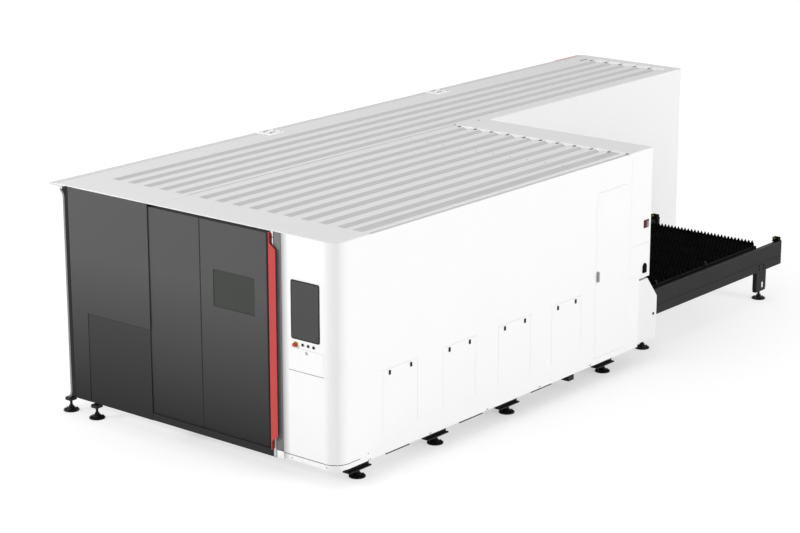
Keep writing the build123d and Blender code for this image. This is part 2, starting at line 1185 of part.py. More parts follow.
def make_levelling_feet():
    return [levelling_foot(*seat) for seat in foot_seats()]


def beam_stub(x, y):
    """A short I-beam under the bed that carries a foot."""
    half = stub_width / 2
    web = stub_web / 2
    low = stub_bottom + stub_flange
    high = panel_lift - stub_flange
    outline = [
        (x - half, stub_bottom),
        (x + half, stub_bottom),
        (x + half, low),
        (x + web, low),
        (x + web, high),
        (x + half, high),
        (x + half, panel_lift),
        (x - half, panel_lift),
        (x - half, high),
        (x - web, high),
        (x - web, low),
        (x - half, low),
    ]
    return end_prism(outline, y - stub_length / 2, y + stub_length / 2)


def make_foot_brackets():
    pieces = [beam_stub(stub_x, y) for y in stub_feet_y]
    pieces += [beam_stub(left_stub_x, y) for y in left_stub_feet_y]
    half_x = foot_plate_width / 2
    half_y = foot_plate_length / 2
    for x in front_feet_x:
        pieces.append(
            block(
                x - half_x,
                x + half_x,
                front_feet_y - half_y,
                front_feet_y + half_y,
                foot_plate_bottom,
                tube_tie_bottom,
            )
        )
    for x in rear_feet_x:
        pieces.append(
            block(
                x - half_x,
                x + half_x,
                rear_feet_y - half_y,
                rear_feet_y + half_y,
                foot_plate_bottom,
                tube_tie_bottom,
            )
        )
    half = block_size / 2
    pieces.append(
        block(
            stub_x - half,
            stub_x + half,
            block_y - half,
            block_y + half,
            stub_bottom,
            panel_lift,
        )
    )
    return pieces


def make_base_frame():
    """The welded members of the bed, set against each other."""
    members = []
    post_half = bed_post_width / 2
    rail_top = panel_lift + bed_rail_height
    beam_bottom = bed_top - bed_beam_height
    beam_end = bed_post_y[-1] + post_half
    for x0, x1 in ((bed_outer_left, bed_inner_left), (bed_inner_right, bed_outer_right)):
        members.append(block(x0, x1, bed_front_y, bed_rear_y, panel_lift, rail_top))
        members.append(block(x0, x1, bed_front_y, beam_end, beam_bottom, bed_top))
        for y in bed_post_y:
            members.append(block(x0, x1, y - post_half, y + post_half, rail_top, beam_bottom))
    cross_half = bed_cross_width / 2
    for y in bed_post_y:
        members.append(
            block(
                bed_inner_left,
                bed_inner_right,
                y - cross_half,
                y + cross_half,
                panel_lift,
                rail_top,
            )
        )
    wall_inner = right_x - sheet
    for y in outrigger_y:
        members.append(
            block(
                bed_outer_right,
                wall_inner,
                y - cross_half,
                y + cross_half,
                panel_lift + sheet,
                panel_lift + outrigger_height,
            )
        )
    return members


def make_tube_bed():
    """The tube bay's hollow bed on its cross ties and sills."""
    beam = block(
        tube_bed_left,
        tube_bed_right,
        tube_bed_front,
        tube_bed_rear,
        tube_tie_top,
        tube_bed_top,
    )
    hollow = block(
        tube_bed_left + tube_bed_wall,
        tube_bed_right - tube_bed_wall,
        tube_bed_front + tube_bed_wall,
        tube_bed_rear - tube_bed_wall,
        tube_tie_top + tube_bed_wall,
        tube_bed_top - tube_bed_wall,
    )
    members = [beam - hollow]
    inner_x = left_wall_x + sheet
    sill_x = inner_x + tube_sill_width
    tie_end = tube_tie_y[-1] + tube_tie_width
    members.append(block(inner_x, sill_x, tube_tie_y[0], tie_end, tube_tie_bottom, tube_tie_top))
    wall_tie_left = wall_tie_right - tube_tie_width
    tie_rights = (sill_left, bed_outer_left, wall_tie_left, wall_tie_left)
    for y, tie_right in zip(tube_tie_y, tie_rights):
        members.append(block(sill_x, tie_right, y, y + tube_tie_width, tube_tie_bottom, tube_tie_top))
    members.append(
        block(
            wall_tie_left,
            wall_tie_right,
            tube_tie_y[2],
            tie_end,
            tube_tie_bottom,
            panel_lift,
        )
    )
    return members


def make_linear_rails():
    pieces = []
    half = rail_width / 2
    for x0 in (bed_outer_left, bed_inner_right):
        x = x0 + bed_side_width / 2
        end = bed_post_y[-1] + bed_post_width / 2
        pieces.append(block(x - half, x + half, bed_front_y, end, bed_top, bed_top + rail_height))
        pieces.append(
            block(
                x + half,
                x + half + rack_width,
                bed_front_y,
                end,
                bed_top,
                bed_top + rack_height,
            )
        )
    for x in tube_rail_x:
        start = front_housing_front + front_housing_length
        pieces.append(
            block(
                x - half,
                x + half,
                start,
                tube_bed_rear,
                tube_bed_top,
                tube_bed_top + tube_rail_height,
            )
        )
    return pieces


def make_gantry_beam():
    beam = block(
        gantry_left,
        gantry_right,
        gantry_front,
        gantry_front + gantry_depth,
        gantry_bottom,
        gantry_top,
    )
    hollow = block(
        gantry_left + gantry_wall,
        gantry_right - gantry_wall,
        gantry_front + gantry_wall,
        gantry_front + gantry_depth - gantry_wall,
        gantry_bottom + gantry_wall,
        gantry_top - gantry_wall,
    )
    beam = beam - hollow
    half = truck_width / 2
    for x0 in (bed_outer_left, bed_inner_right):
        x = x0 + bed_side_width / 2
        truck = block(
            x - half,
            x + half,
            truck_front,
            truck_front + truck_length,
            bed_top + rail_height + bearing_gap,
            gantry_bottom,
        )
        beam = beam + truck
    return beam


def make_head_carriage():
    back = gantry_front - bearing_gap
    return block(
        carriage_x - carriage_half,
        carriage_x + carriage_half,
        back - carriage_depth,
        back,
        carriage_bottom,
        carriage_top,
    )


def make_cutting_head():
    back = gantry_front - bearing_gap - carriage_depth - bearing_gap
    body = block(
        carriage_x - head_half,
        carriage_x + head_half,
        back - head_depth,
        back,
        head_bottom,
        head_top,
    )
    barrel_y = back - head_depth / 2
    half = barrel_width / 2
    low_y = back - head_depth
    barrel = block(carriage_x - half, carriage_x + half, low_y, back, barrel_bottom, head_bottom)
    tip = nozzle_width / 2
    taper_x = [
        (carriage_x - half, barrel_bottom),
        (carriage_x - tip, nozzle_bottom),
        (carriage_x + tip, nozzle_bottom),
        (carriage_x + half, barrel_bottom),
    ]
    taper_y = [
        (low_y, barrel_bottom),
        (barrel_y - tip, nozzle_bottom),
        (barrel_y + tip, nozzle_bottom),
        (back, barrel_bottom),
    ]
    nozzle = end_prism(taper_x, low_y, back) & side_prism(taper_y, carriage_x - half, carriage_x + half)
    return body + barrel + nozzle


def chuck_disc(radius, y0, y1):
    """A many-sided disc about the chuck axis."""
    return many_sided_disc(radius, rotor_sides, chuck_x, chuck_z, y0, y1)


def make_chuck_rotor(front_y):
    """A rotor disc with four jaws on its front."""
    back_y = front_y + rotor_length
    bore = chuck_disc(rotor_bore, front_y - overrun, back_y + overrun)
    rotor = chuck_disc(rotor_radius, front_y, back_y) - bore
    half = jaw_width / 2
    reach = rotor_radius - jaw_inset
    foot = rotor_bore - jaw_inset / 2
    upper = block(
        chuck_x - half,
        chuck_x + half,
        front_y - jaw_length,
        front_y,
        chuck_z + foot,
        chuck_z + reach,
    )
    lower = block(
        chuck_x - half,
        chuck_x + half,
        front_y - jaw_length,
        front_y,
        chuck_z - reach,
        chuck_z - foot,
    )
    right = block(
        chuck_x + foot,
        chuck_x + reach,
        front_y - jaw_length,
        front_y,
        chuck_z - half,
        chuck_z + half,
    )
    left = block(
        chuck_x - reach,
        chuck_x - foot,
        front_y - jaw_length,
        front_y,
        chuck_z - half,
        chuck_z + half,
    )
    return rotor + upper + lower + right + left


def chuck_housing(front_y, length, bottom):
    """A housing block with the tube's passage through it."""
    body = block(
        chuck_x - housing_half,
        chuck_x + housing_half,
        front_y,
        front_y + length,
        bottom,
        housing_top,
    )
    return body - chuck_disc(housing_bore, front_y - overrun, front_y + length + overrun)


def make_front_chuck_housing():
    return chuck_housing(front_housing_front, front_housing_length, tube_bed_top)


def make_chuck_carriage():
    return chuck_housing(
        rear_housing_front, rear_housing_length, tube_bed_top + tube_rail_height + bearing_gap
    )


def make_front_chuck():
    return make_chuck_rotor(front_housing_front - bearing_gap - rotor_length)


def make_rear_chuck():
    return make_chuck_rotor(rear_housing_front - bearing_gap - rotor_length)


def slat(y, drop):
    """A saw-tooth slat between the pallet's side rails."""
    left = bed_inner_left + pallet_side_width + door_gap
    right = bed_inner_right - pallet_side_width - door_gap
    pitch = (right - left) / tooth_count
    points = [(left, slat_bottom - drop)]
    for i in range(tooth_count):
        points.append((left + pitch * i, slat_top - drop))
        points.append((left + pitch * (i + 1 / 2), slat_top + tooth_height - drop))
    points.append((right, slat_top - drop))
    points.append((right, slat_bottom - drop))
    return end_prism(points, y - slat_thickness / 2, y + slat_thickness / 2)


def pallet_pieces(start_y, drop):
    """The bars of a pallet's welded frame, followed by its slats."""
    left = bed_inner_left + door_gap
    right = bed_inner_right - door_gap
    z0 = pallet_frame_bottom - drop
    z1 = pallet_frame_top - drop
    end_y = start_y + pallet_length
    middle = (left + right) / 2
    half = pallet_side_width / 2
    inner_left = left + pallet_side_width
    inner_right = right - pallet_side_width
    inner_start = start_y + pallet_side_width
    inner_end = end_y - pallet_side_width
    pieces = [
        block(left, inner_left, start_y, end_y, z0, z1),
        block(inner_right, right, start_y, end_y, z0, z1),
        block(inner_left, inner_right, start_y, inner_start, z0, z1),
        block(inner_left, inner_right, inner_end, end_y, z0, z1),
        block(middle - half, middle + half, inner_start, inner_end, z0, slat_bottom - drop),
    ]
    first = start_y + slat_end_margin
    step = (pallet_length - slat_end_margin * 2) / (slat_count - 1)
    for i in range(slat_count):
        pieces.append(slat(first + step * i, drop))
    return pieces


def make_pallet_upper():
    return pallet_pieces(pallet_out_y, 0)


def make_pallet_lower():
    return pallet_pieces(pallet_in_y, pallet_drop)


def make_pallet_rails():
    pieces = []
    for top in (pallet_frame_bottom - bearing_gap, pallet_frame_bottom - pallet_drop - bearing_gap):
        for x0, x1 in (
            (bed_inner_left, bed_inner_left + pallet_rail_width),
            (bed_inner_right - pallet_rail_width, bed_inner_right),
        ):
            pieces.append(
                block(
                    x0,
                    x1,
                    pallet_rail_front,
                    pallet_rail_rear,
                    top - pallet_rail_thickness,
                    top,
                )
            )
    return pieces


def table_beam(outer_x, inner_x):
    """A hollow side beam of the table with a groove along its outer face."""
    turn = 1
    if outer_x < inner_x:
        turn = -1
    half = table_groove_width / 2
    outline = [
        (inner_x, table_bottom),
        (outer_x, table_bottom),
        (outer_x, table_groove_z - half),
        (outer_x - turn * table_groove_depth, table_groove_z),
        (outer_x, table_groove_z + half),
        (outer_x, table_top),
        (inner_x, table_top),
    ]
    beam = end_prism(outline, sheet_bay_length, table_rear_y)
    low_x = min(outer_x, inner_x) + table_wall
    high_x = max(outer_x, inner_x) - table_wall
    hollow = block(
        low_x,
        high_x,
        sheet_bay_length - overrun,
        table_rear_y - table_wall,
        table_bottom + table_wall,
        table_top - table_wall,
    )
    return beam - hollow


def make_table_frame():
    left_outer = bed_inner_left - table_beam_thickness
    right_outer = bed_inner_right + table_beam_thickness
    pieces = [table_beam(left_outer, bed_inner_left), table_beam(right_outer, bed_inner_right)]
    pieces.append(
        block(
            bed_inner_left,
            bed_inner_right,
            table_rear_y - table_end_depth,
            table_rear_y,
            table_bottom,
            table_end_top,
        )
    )
    half_y = table_leg_length / 2
    for x0, x1 in ((left_outer, bed_inner_left), (bed_inner_right, right_outer)):
        for y in (near_table_y, far_table_y):
            pieces.append(block(x0, x1, y - half_y, y + half_y, table_leg_bottom, table_bottom))
    half_x = sensor_width / 2
    half_s = sensor_length / 2
    for x in (left_outer + table_beam_thickness / 2, right_outer - table_beam_thickness / 2):
        pieces.append(
            block(
                x - half_x,
                x + half_x,
                sensor_y - half_s,
                sensor_y + half_s,
                table_top,
                sensor_top,
            )
        )
    return pieces


def closed_box(x0, x1, y0, y1, z0, z1):
    """A closed cabinet of plate."""
    inner = block(
        x0 + cabinet_wall,
        x1 - cabinet_wall,
        y0 + cabinet_wall,
        y1 - cabinet_wall,
        z0 + cabinet_wall,
        z1 - cabinet_wall,
    )
    return block(x0, x1, y0, y1, z0, z1) - inner


def make_electrical_cabinet():
    seat = panel_lift + bed_rail_height
    return closed_box(cabinet_inner_x, cabinet_outer_x, cabinet_front, cabinet_rear, seat, cabinet_top)


def make_laser_source():
    return closed_box(
        source_left,
        source_right,
        source_front,
        sheet_bay_length - sheet,
        source_bottom,
        source_top,
    )


pieces = {
    "base_frame": make_base_frame(),
    "tube_bed": make_tube_bed(),
    "linear_rails": make_linear_rails(),
    "left_wall": make_left_wall(),
    "front_panel": make_front_panel(),
    "door_frame": make_door_frame(),
    "control_column": make_control_column(),
    "right_wall": make_right_wall(),
    "low_rear_cover": make_low_cover(),
    "sheet_roof": make_sheet_roof(),
    "tube_roof": make_tube_roof(),
    "tube_walls": [make_tube_side_wall(), make_tube_rear_wall()],
    "sheet_rear_wall": make_sheet_rear_wall(),
    "roof_brackets": make_roof_brackets(),
    "monitor": make_monitor(),
    "monitor_screen": make_monitor_screen(),
    "estop_ring": make_estop_ring(),
    "isolator_plate": make_isolator_plate(),
    "foot_brackets": make_foot_brackets(),
    "levelling_feet": make_levelling_feet(),
    "table_frame": make_table_frame(),
    "pallet_rails": make_pallet_rails(),
    "electrical_cabinet": make_electrical_cabinet(),
    "laser_source": make_laser_source(),
    "front_chuck_housing": make_front_chuck_housing(),
    "door_leaf": make_door_leaf(),
    "door_window": make_door_window(),
    "door_handle": make_door_handle(),
    "tall_door": make_tall_door(),
    "tall_door_handle": make_tall_door_handle(),
    "rear_cover": make_rear_cover(),
    "rear_cover_latch": make_rear_cover_latch(),
    "isolator_switch": make_isolator_switch(),
    "estop_button": make_estop_button(),
    "keyboard_tray": make_keyboard_tray(),
    "keyboard": make_keyboard(),
    "tube_hatch": make_tube_hatch(),
    "pallet_upper": make_pallet_upper(),
    "pallet_lower": make_pallet_lower(),
    "gantry_beam": make_gantry_beam(),
    "head_carriage": make_head_carriage(),
    "cutting_head": make_cutting_head(),
    "chuck_carriage": make_chuck_carriage(),
    "rear_chuck": make_rear_chuck(),
    "front_chuck": make_front_chuck(),
}
for number in range(len(access_starts)):
    pieces["access_door_" + str(number + 1)] = make_access_door(number)
    pieces["access_latch_" + str(number + 1) + "_front"] = make_access_latch(number, 0)
    pieces["access_latch_" + str(number + 1) + "_rear"] = make_access_latch(number, 1)
for number, button_x in enumerate(button_x_values):
    pieces["push_button_" + str(number + 1)] = make_push_button(button_x)

front_reach = front_feet_y - pad_radius
right_reach = right_x + isolator_thickness + switch_thickness
centre_x = (eave_tip_x + right_reach) / 2
centre_y = (front_reach + tube_bay_length) / 2
for name, piece in pieces.items():
    solids = piece if isinstance(piece, list) else [piece]
    moved = [Pos(-centre_x, -centre_y, 0) * solid for solid in solids]
    whole = moved[0] if len(moved) == 1 else Compound(children=moved)
    export_step(whole, "parts/" + name + ".step")
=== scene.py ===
# %% [markdown]
# A sheet and tube laser cutting machine, dressed in Blender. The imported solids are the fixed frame:
# they carry the true sizes and the moving bodies. This lesson gives every surface its finish, adds the
# small pieces that a drawing of the solids leaves out, and sets the camera and the studio light.

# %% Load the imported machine
import bpy
import json
import math
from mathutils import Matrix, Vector


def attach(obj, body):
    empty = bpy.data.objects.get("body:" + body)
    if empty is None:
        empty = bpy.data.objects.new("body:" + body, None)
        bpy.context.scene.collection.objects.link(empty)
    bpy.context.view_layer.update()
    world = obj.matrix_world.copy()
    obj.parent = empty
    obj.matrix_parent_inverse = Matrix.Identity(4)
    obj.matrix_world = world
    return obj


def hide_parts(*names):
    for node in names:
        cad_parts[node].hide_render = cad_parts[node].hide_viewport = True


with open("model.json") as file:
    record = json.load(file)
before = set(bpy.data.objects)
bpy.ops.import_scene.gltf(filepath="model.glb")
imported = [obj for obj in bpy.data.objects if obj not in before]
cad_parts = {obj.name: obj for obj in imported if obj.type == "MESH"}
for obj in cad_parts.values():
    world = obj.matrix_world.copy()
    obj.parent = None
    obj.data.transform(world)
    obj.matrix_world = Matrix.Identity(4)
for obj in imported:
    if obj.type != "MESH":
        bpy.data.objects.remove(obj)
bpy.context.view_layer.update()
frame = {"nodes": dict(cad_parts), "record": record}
nodes = frame["nodes"]

# %% [markdown]
# The sizes below were measured on the machine in millimetres, from the roof's left edge, the front face
# and the floor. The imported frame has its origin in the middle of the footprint, so one helper turns a
# measured point into a point of the frame. Every piece is then placed by the numbers of the machine. A few
# planes that many pieces share have their names here.

# %% From machine millimetres to the frame
LEFT_TO_MIDDLE = 1742.5
FRONT_TO_MIDDLE = 4270.75
BODY_RIGHT = 3507
ROOF_Z = 2225
SKIRT_LOW = 158
LEAF_LOW, LEAF_HIGH = 226, 2184


def at(x, y, z):
    return ((x - LEFT_TO_MIDDLE) / 1000, (y - FRONT_TO_MIDDLE) / 1000, z / 1000)


print("front right corner of the body", at(BODY_RIGHT, 0, 0))

# %% [markdown]
# The camera stands on the right of the machine's front corner, some seven metres up, with a long lens.
# Its place and lens come from the vanishing lines of the roof, the front and the right wall.

# %% Camera
SENSOR_WIDTH, LENS, FAR_CLIP = 36, 100.9, 200
CAMERA_PLACE = (15426, -13683, 7111)
LOOKS_DOWN, LOOKS_LEFT = 15.65, 39.37
camera_data = bpy.data.cameras.new("studio_camera")
camera_data.sensor_width = SENSOR_WIDTH
camera_data.lens = LENS
camera_data.clip_end = FAR_CLIP
camera = bpy.data.objects.new("studio_camera", camera_data)
bpy.context.scene.collection.objects.link(camera)
camera.location = at(*CAMERA_PLACE)
camera.rotation_euler = (math.radians(90 - LOOKS_DOWN), 0, math.radians(LOOKS_LEFT))
bpy.context.scene.camera = camera
bpy.context.scene.view_settings.view_transform = "Standard"
print("camera at", tuple(round(v, 2) for v in camera.location))

# %% [markdown]
# New pieces are modelled by hand-like steps. These helpers start from a primitive, put it in its place,
# apply the place to the mesh so that the object stays at the origin, and round its edges, because no real
# folded, cast or moulded edge is perfectly sharp. A slab is given by its left and right side, its front and
# rear, and its low and high end. A name that ends in BOX holds those six numbers of one piece. The last
# helper gives a piece its finish and the body that it rides on.

# %% Modelling helpers
SHARP_ANGLE = math.radians(35)


def clear_selection():
    if bpy.context.mode != "OBJECT":
        bpy.ops.object.mode_set(mode="OBJECT")
    bpy.ops.object.select_all(action="DESELECT")


def pick(obj):
    clear_selection()
    obj.select_set(True)
    bpy.context.view_layer.objects.active = obj


def settle(obj):
    pick(obj)
    bpy.ops.object.transform_apply(location=True, rotation=True, scale=True)


def soften(obj, width, segments=2):
    pick(obj)
    if width > 0:
        bevel = obj.modifiers.new("edge", "BEVEL")
        bevel.width = width / 1000
        bevel.segments = segments
        bevel.limit_method = "ANGLE"
        bevel.angle_limit = SHARP_ANGLE
        bpy.ops.object.modifier_apply(modifier="edge")
    bpy.ops.object.shade_smooth_by_angle(angle=SHARP_ANGLE)
    return obj


def slab(name, x0, x1, y0, y1, z0, z1, edge=1.0, segments=2):
    clear_selection()
    middle = at((x0 + x1) / 2, (y0 + y1) / 2, (z0 + z1) / 2)
    size = ((x1 - x0) / 1000, (y1 - y0) / 1000, (z1 - z0) / 1000)
    bpy.ops.mesh.primitive_cube_add(size=1, location=middle, scale=size)
    obj = bpy.context.object
    obj.name = name
    settle(obj)
    return soften(obj, edge, segments)


def disc(name, x, y, z, radius, length, axis, edge=1.0, sides=32):
    turn = {"x": (0, math.pi / 2, 0), "y": (math.pi / 2, 0, 0), "z": (0, 0, 0)}[axis]
    clear_selection()
    bpy.ops.mesh.primitive_cylinder_add(
        vertices=sides, radius=radius / 1000, depth=length / 1000, location=at(x, y, z), rotation=turn
    )
    obj = bpy.context.object
    obj.name = name
    settle(obj)
    return soften(obj, edge)


def join(name, parts):
    clear_selection()
    for part in parts:
        part.select_set(True)
    bpy.context.view_layer.objects.active = parts[0]
    bpy.ops.object.join()
    joined = bpy.context.object
    joined.name = name
    return joined


def copy_at(source, name, dx, dy):
    twin = source.copy()
    twin.data = source.data.copy()
    twin.name = name
    bpy.context.scene.collection.objects.link(twin)
    twin.location = (dx / 1000, dy / 1000, 0)
    settle(twin)
    return twin


def dress(obj, paint, body="machine"):
    obj.data.materials.clear()
    obj.data.materials.append(finish[paint])
    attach(obj, body)


print("helpers ready")

# %% [markdown]
# In edit mode an operator acts on the faces that are selected, so one helper selects them by a test. The
# others are steps that several pieces share: a field is pressed in, an end is tapered, an end face is
# pulled round a former in small turns, and a shape is repeated in a row.

# %% Edit mode helpers
BEND_STEPS = 9


def select_faces(obj, wanted):
    bpy.ops.object.mode_set(mode="EDIT")
    bpy.ops.mesh.select_mode(type="FACE")
    bpy.ops.mesh.select_all(action="DESELECT")
    bpy.ops.object.mode_set(mode="OBJECT")
    for face in obj.data.polygons:
        face.select = wanted(face)
    bpy.ops.object.mode_set(mode="EDIT")


def leave_edit():
    bpy.ops.object.mode_set(mode="OBJECT")


def press_in(obj, wanted, rim, depth):
    select_faces(obj, wanted)
    bpy.ops.mesh.inset(thickness=rim / 1000, depth=-depth / 1000)
    leave_edit()


def taper(obj, wanted, shares, **pivot):
    select_faces(obj, wanted)
    bpy.ops.transform.resize(value=shares, **pivot)
    leave_edit()


def pull(dx, dy, dz):
    shift = (dx / 1000, dy / 1000, dz / 1000)
    bpy.ops.mesh.extrude_region_move(TRANSFORM_OT_translate={"value": shift})


def pull_round(obj, wanted, degrees, axis, centre):
    select_faces(obj, wanted)
    for step in range(BEND_STEPS):
        pull(0, 0, 0)
        bpy.ops.transform.rotate(
            value=math.radians(degrees / BEND_STEPS), orient_axis=axis, center_override=centre
        )


def repeat(obj, label, count, offset, merge=False):
    row = obj.modifiers.new(label, "ARRAY")
    row.count = count
    row.use_relative_offset = False
    row.use_constant_offset = True
    row.constant_offset_displace = offset
    row.use_merge_vertices = merge
    bpy.ops.object.modifier_apply(modifier=label)


print("edit mode helpers ready")

# %% [markdown]
# A finish is a tree of shader nodes. One helper adds a node with its settings and its fixed values, and
# another gives a node group its named sockets.

# %% Node helpers
def add_node(tree, kind, values=None, **settings):
    node = tree.nodes.new("ShaderNode" + kind)
    for setting, value in settings.items():
        setattr(node, setting, value)
    for socket, value in (values or {}).items():
        node.inputs[socket].default_value = value
    return node


def add_sockets(group, inputs, outputs):
    for way, names in (("INPUT", inputs), ("OUTPUT", outputs)):
        for name in names:
            kind = "NodeSocketColor" if name.endswith("Color") else "NodeSocketFloat"
            group.interface.new_socket(name, in_out=way, socket_type=kind)


EFFECT_OUTPUTS = ("Color", "Roughness", "Height")
print("node helpers ready")

# %% [markdown]
# Sprayed metal is never one flat colour: the coat is a little thicker here and there, it gets darker towards
# the floor, and the surface has a fine orange peel. On the light paints the darkening is dust near the floor;
# on the dark front paints it is a painted reflection, lighter high up and much darker low down. One shader
# group makes those three effects, and each paint places it with its own values.

# %% Shared effect: paint coat
COAT_INPUTS = ("Top Color", "Foot Color", "Patchiness", "Gloss Low", "Gloss High")
DUST_AND_SHEEN_LOW, DUST_AND_SHEEN_HIGH = 0.15, 1.6
CLOUD = {"Scale": 1.6, "Detail": 5}
PEEL = {"Scale": 260, "Detail": 2}


def make_coat_group():
    group = bpy.data.node_groups.new("paint_coat", "ShaderNodeTree")
    add_sockets(group, COAT_INPUTS, EFFECT_OUTPUTS)
    link = group.links.new
    given = group.nodes.new("NodeGroupInput")
    result = group.nodes.new("NodeGroupOutput")
    place = add_node(group, "TexCoord")
    split = add_node(group, "SeparateXYZ")
    link(place.outputs["Object"], split.inputs[0])
    # Darker towards the floor: dust on the light paints, a painted reflection gradient on the dark paints.
    rise = add_node(group, "MapRange", {"From Min": DUST_AND_SHEEN_LOW, "From Max": DUST_AND_SHEEN_HIGH})
    link(split.outputs["Z"], rise.inputs["Value"])
    fade = add_node(group, "Mix", data_type="RGBA")
    link(rise.outputs["Result"], fade.inputs["Factor"])
    link(given.outputs["Foot Color"], fade.inputs["A"])
    link(given.outputs["Top Color"], fade.inputs["B"])
    cloud = add_node(group, "TexNoise", CLOUD)
    link(place.outputs["Object"], cloud.inputs["Vector"])
    centre = add_node(group, "Math", {1: 0.5}, operation="SUBTRACT")
    link(cloud.outputs["Fac"], centre.inputs[0])
    amount = add_node(group, "Math", operation="MULTIPLY")
    link(centre.outputs[0], amount.inputs[0])
    link(given.outputs["Patchiness"], amount.inputs[1])
    lift = add_node(group, "Math", {1: 1.0}, operation="ADD")
    link(amount.outputs[0], lift.inputs[0])
    tint = add_node(group, "VectorMath", operation="SCALE")
    link(fade.outputs["Result"], tint.inputs[0])
    link(lift.outputs[0], tint.inputs["Scale"])
    link(tint.outputs[0], result.inputs["Color"])
    gloss = add_node(group, "MapRange")
    link(cloud.outputs["Fac"], gloss.inputs["Value"])
    link(given.outputs["Gloss Low"], gloss.inputs["To Min"])
    link(given.outputs["Gloss High"], gloss.inputs["To Max"])
    link(gloss.outputs["Result"], result.inputs["Roughness"])
    peel = add_node(group, "TexNoise", PEEL)
    link(place.outputs["Object"], peel.inputs["Vector"])
    link(peel.outputs["Fac"], result.inputs["Height"])
    return group


coat = make_coat_group()
print("group", coat.name, "with", len(coat.nodes), "nodes")

# %% [markdown]
# Ground and machined steel has fine lines along the way the tool went. A stretched noise gives them, for
# the rails, the chucks and the bright jamb.

# %% Shared effect: tool lines
LINE_INPUTS = ("Color", "Contrast")
LINE_STRETCH = (300, 3, 300)
LINES = {"Scale": 1.0, "Detail": 3}
LINE_SHADE = {"To Min": 1.0, "To Max": 0.75}
LINE_ROUGHNESS = {"To Min": 0.28, "To Max": 0.5}


def make_line_group():
    group = bpy.data.node_groups.new("tool_lines", "ShaderNodeTree")
    add_sockets(group, LINE_INPUTS, EFFECT_OUTPUTS)
    link = group.links.new
    given = group.nodes.new("NodeGroupInput")
    result = group.nodes.new("NodeGroupOutput")
    place = add_node(group, "TexCoord")
    stretch = add_node(group, "Mapping", {"Scale": LINE_STRETCH})
    link(place.outputs["Object"], stretch.inputs["Vector"])
    lines = add_node(group, "TexNoise", LINES)
    link(stretch.outputs[0], lines.inputs["Vector"])
    shade = add_node(group, "MapRange", LINE_SHADE)
    link(lines.outputs["Fac"], shade.inputs["Value"])
    mixed = add_node(group, "Mix", {"A": 1.0}, data_type="FLOAT")
    link(given.outputs["Contrast"], mixed.inputs["Factor"])
    link(shade.outputs["Result"], mixed.inputs["B"])
    tint = add_node(group, "VectorMath", operation="SCALE")
    link(given.outputs["Color"], tint.inputs[0])
    link(mixed.outputs["Result"], tint.inputs["Scale"])
    link(tint.outputs[0], result.inputs["Color"])
    rough = add_node(group, "MapRange", LINE_ROUGHNESS)
    link(lines.outputs["Fac"], rough.inputs["Value"])
    link(rough.outputs["Result"], result.inputs["Roughness"])
    link(lines.outputs["Fac"], result.inputs["Height"])
    return group


tool_lines = make_line_group()
print("group", tool_lines.name, "with", len(tool_lines.nodes), "nodes")

# %% [markdown]
# Each finish is a material with its own shader, fed by one of the two groups. Numbers that are the same
# all over the surface, such as the shine and the metal, are set on the shader itself. A paint is given by
# its colour high up and near the floor, its patchiness, its range of roughness, its orange peel and, where
# it isn't the usual one half, its shine.

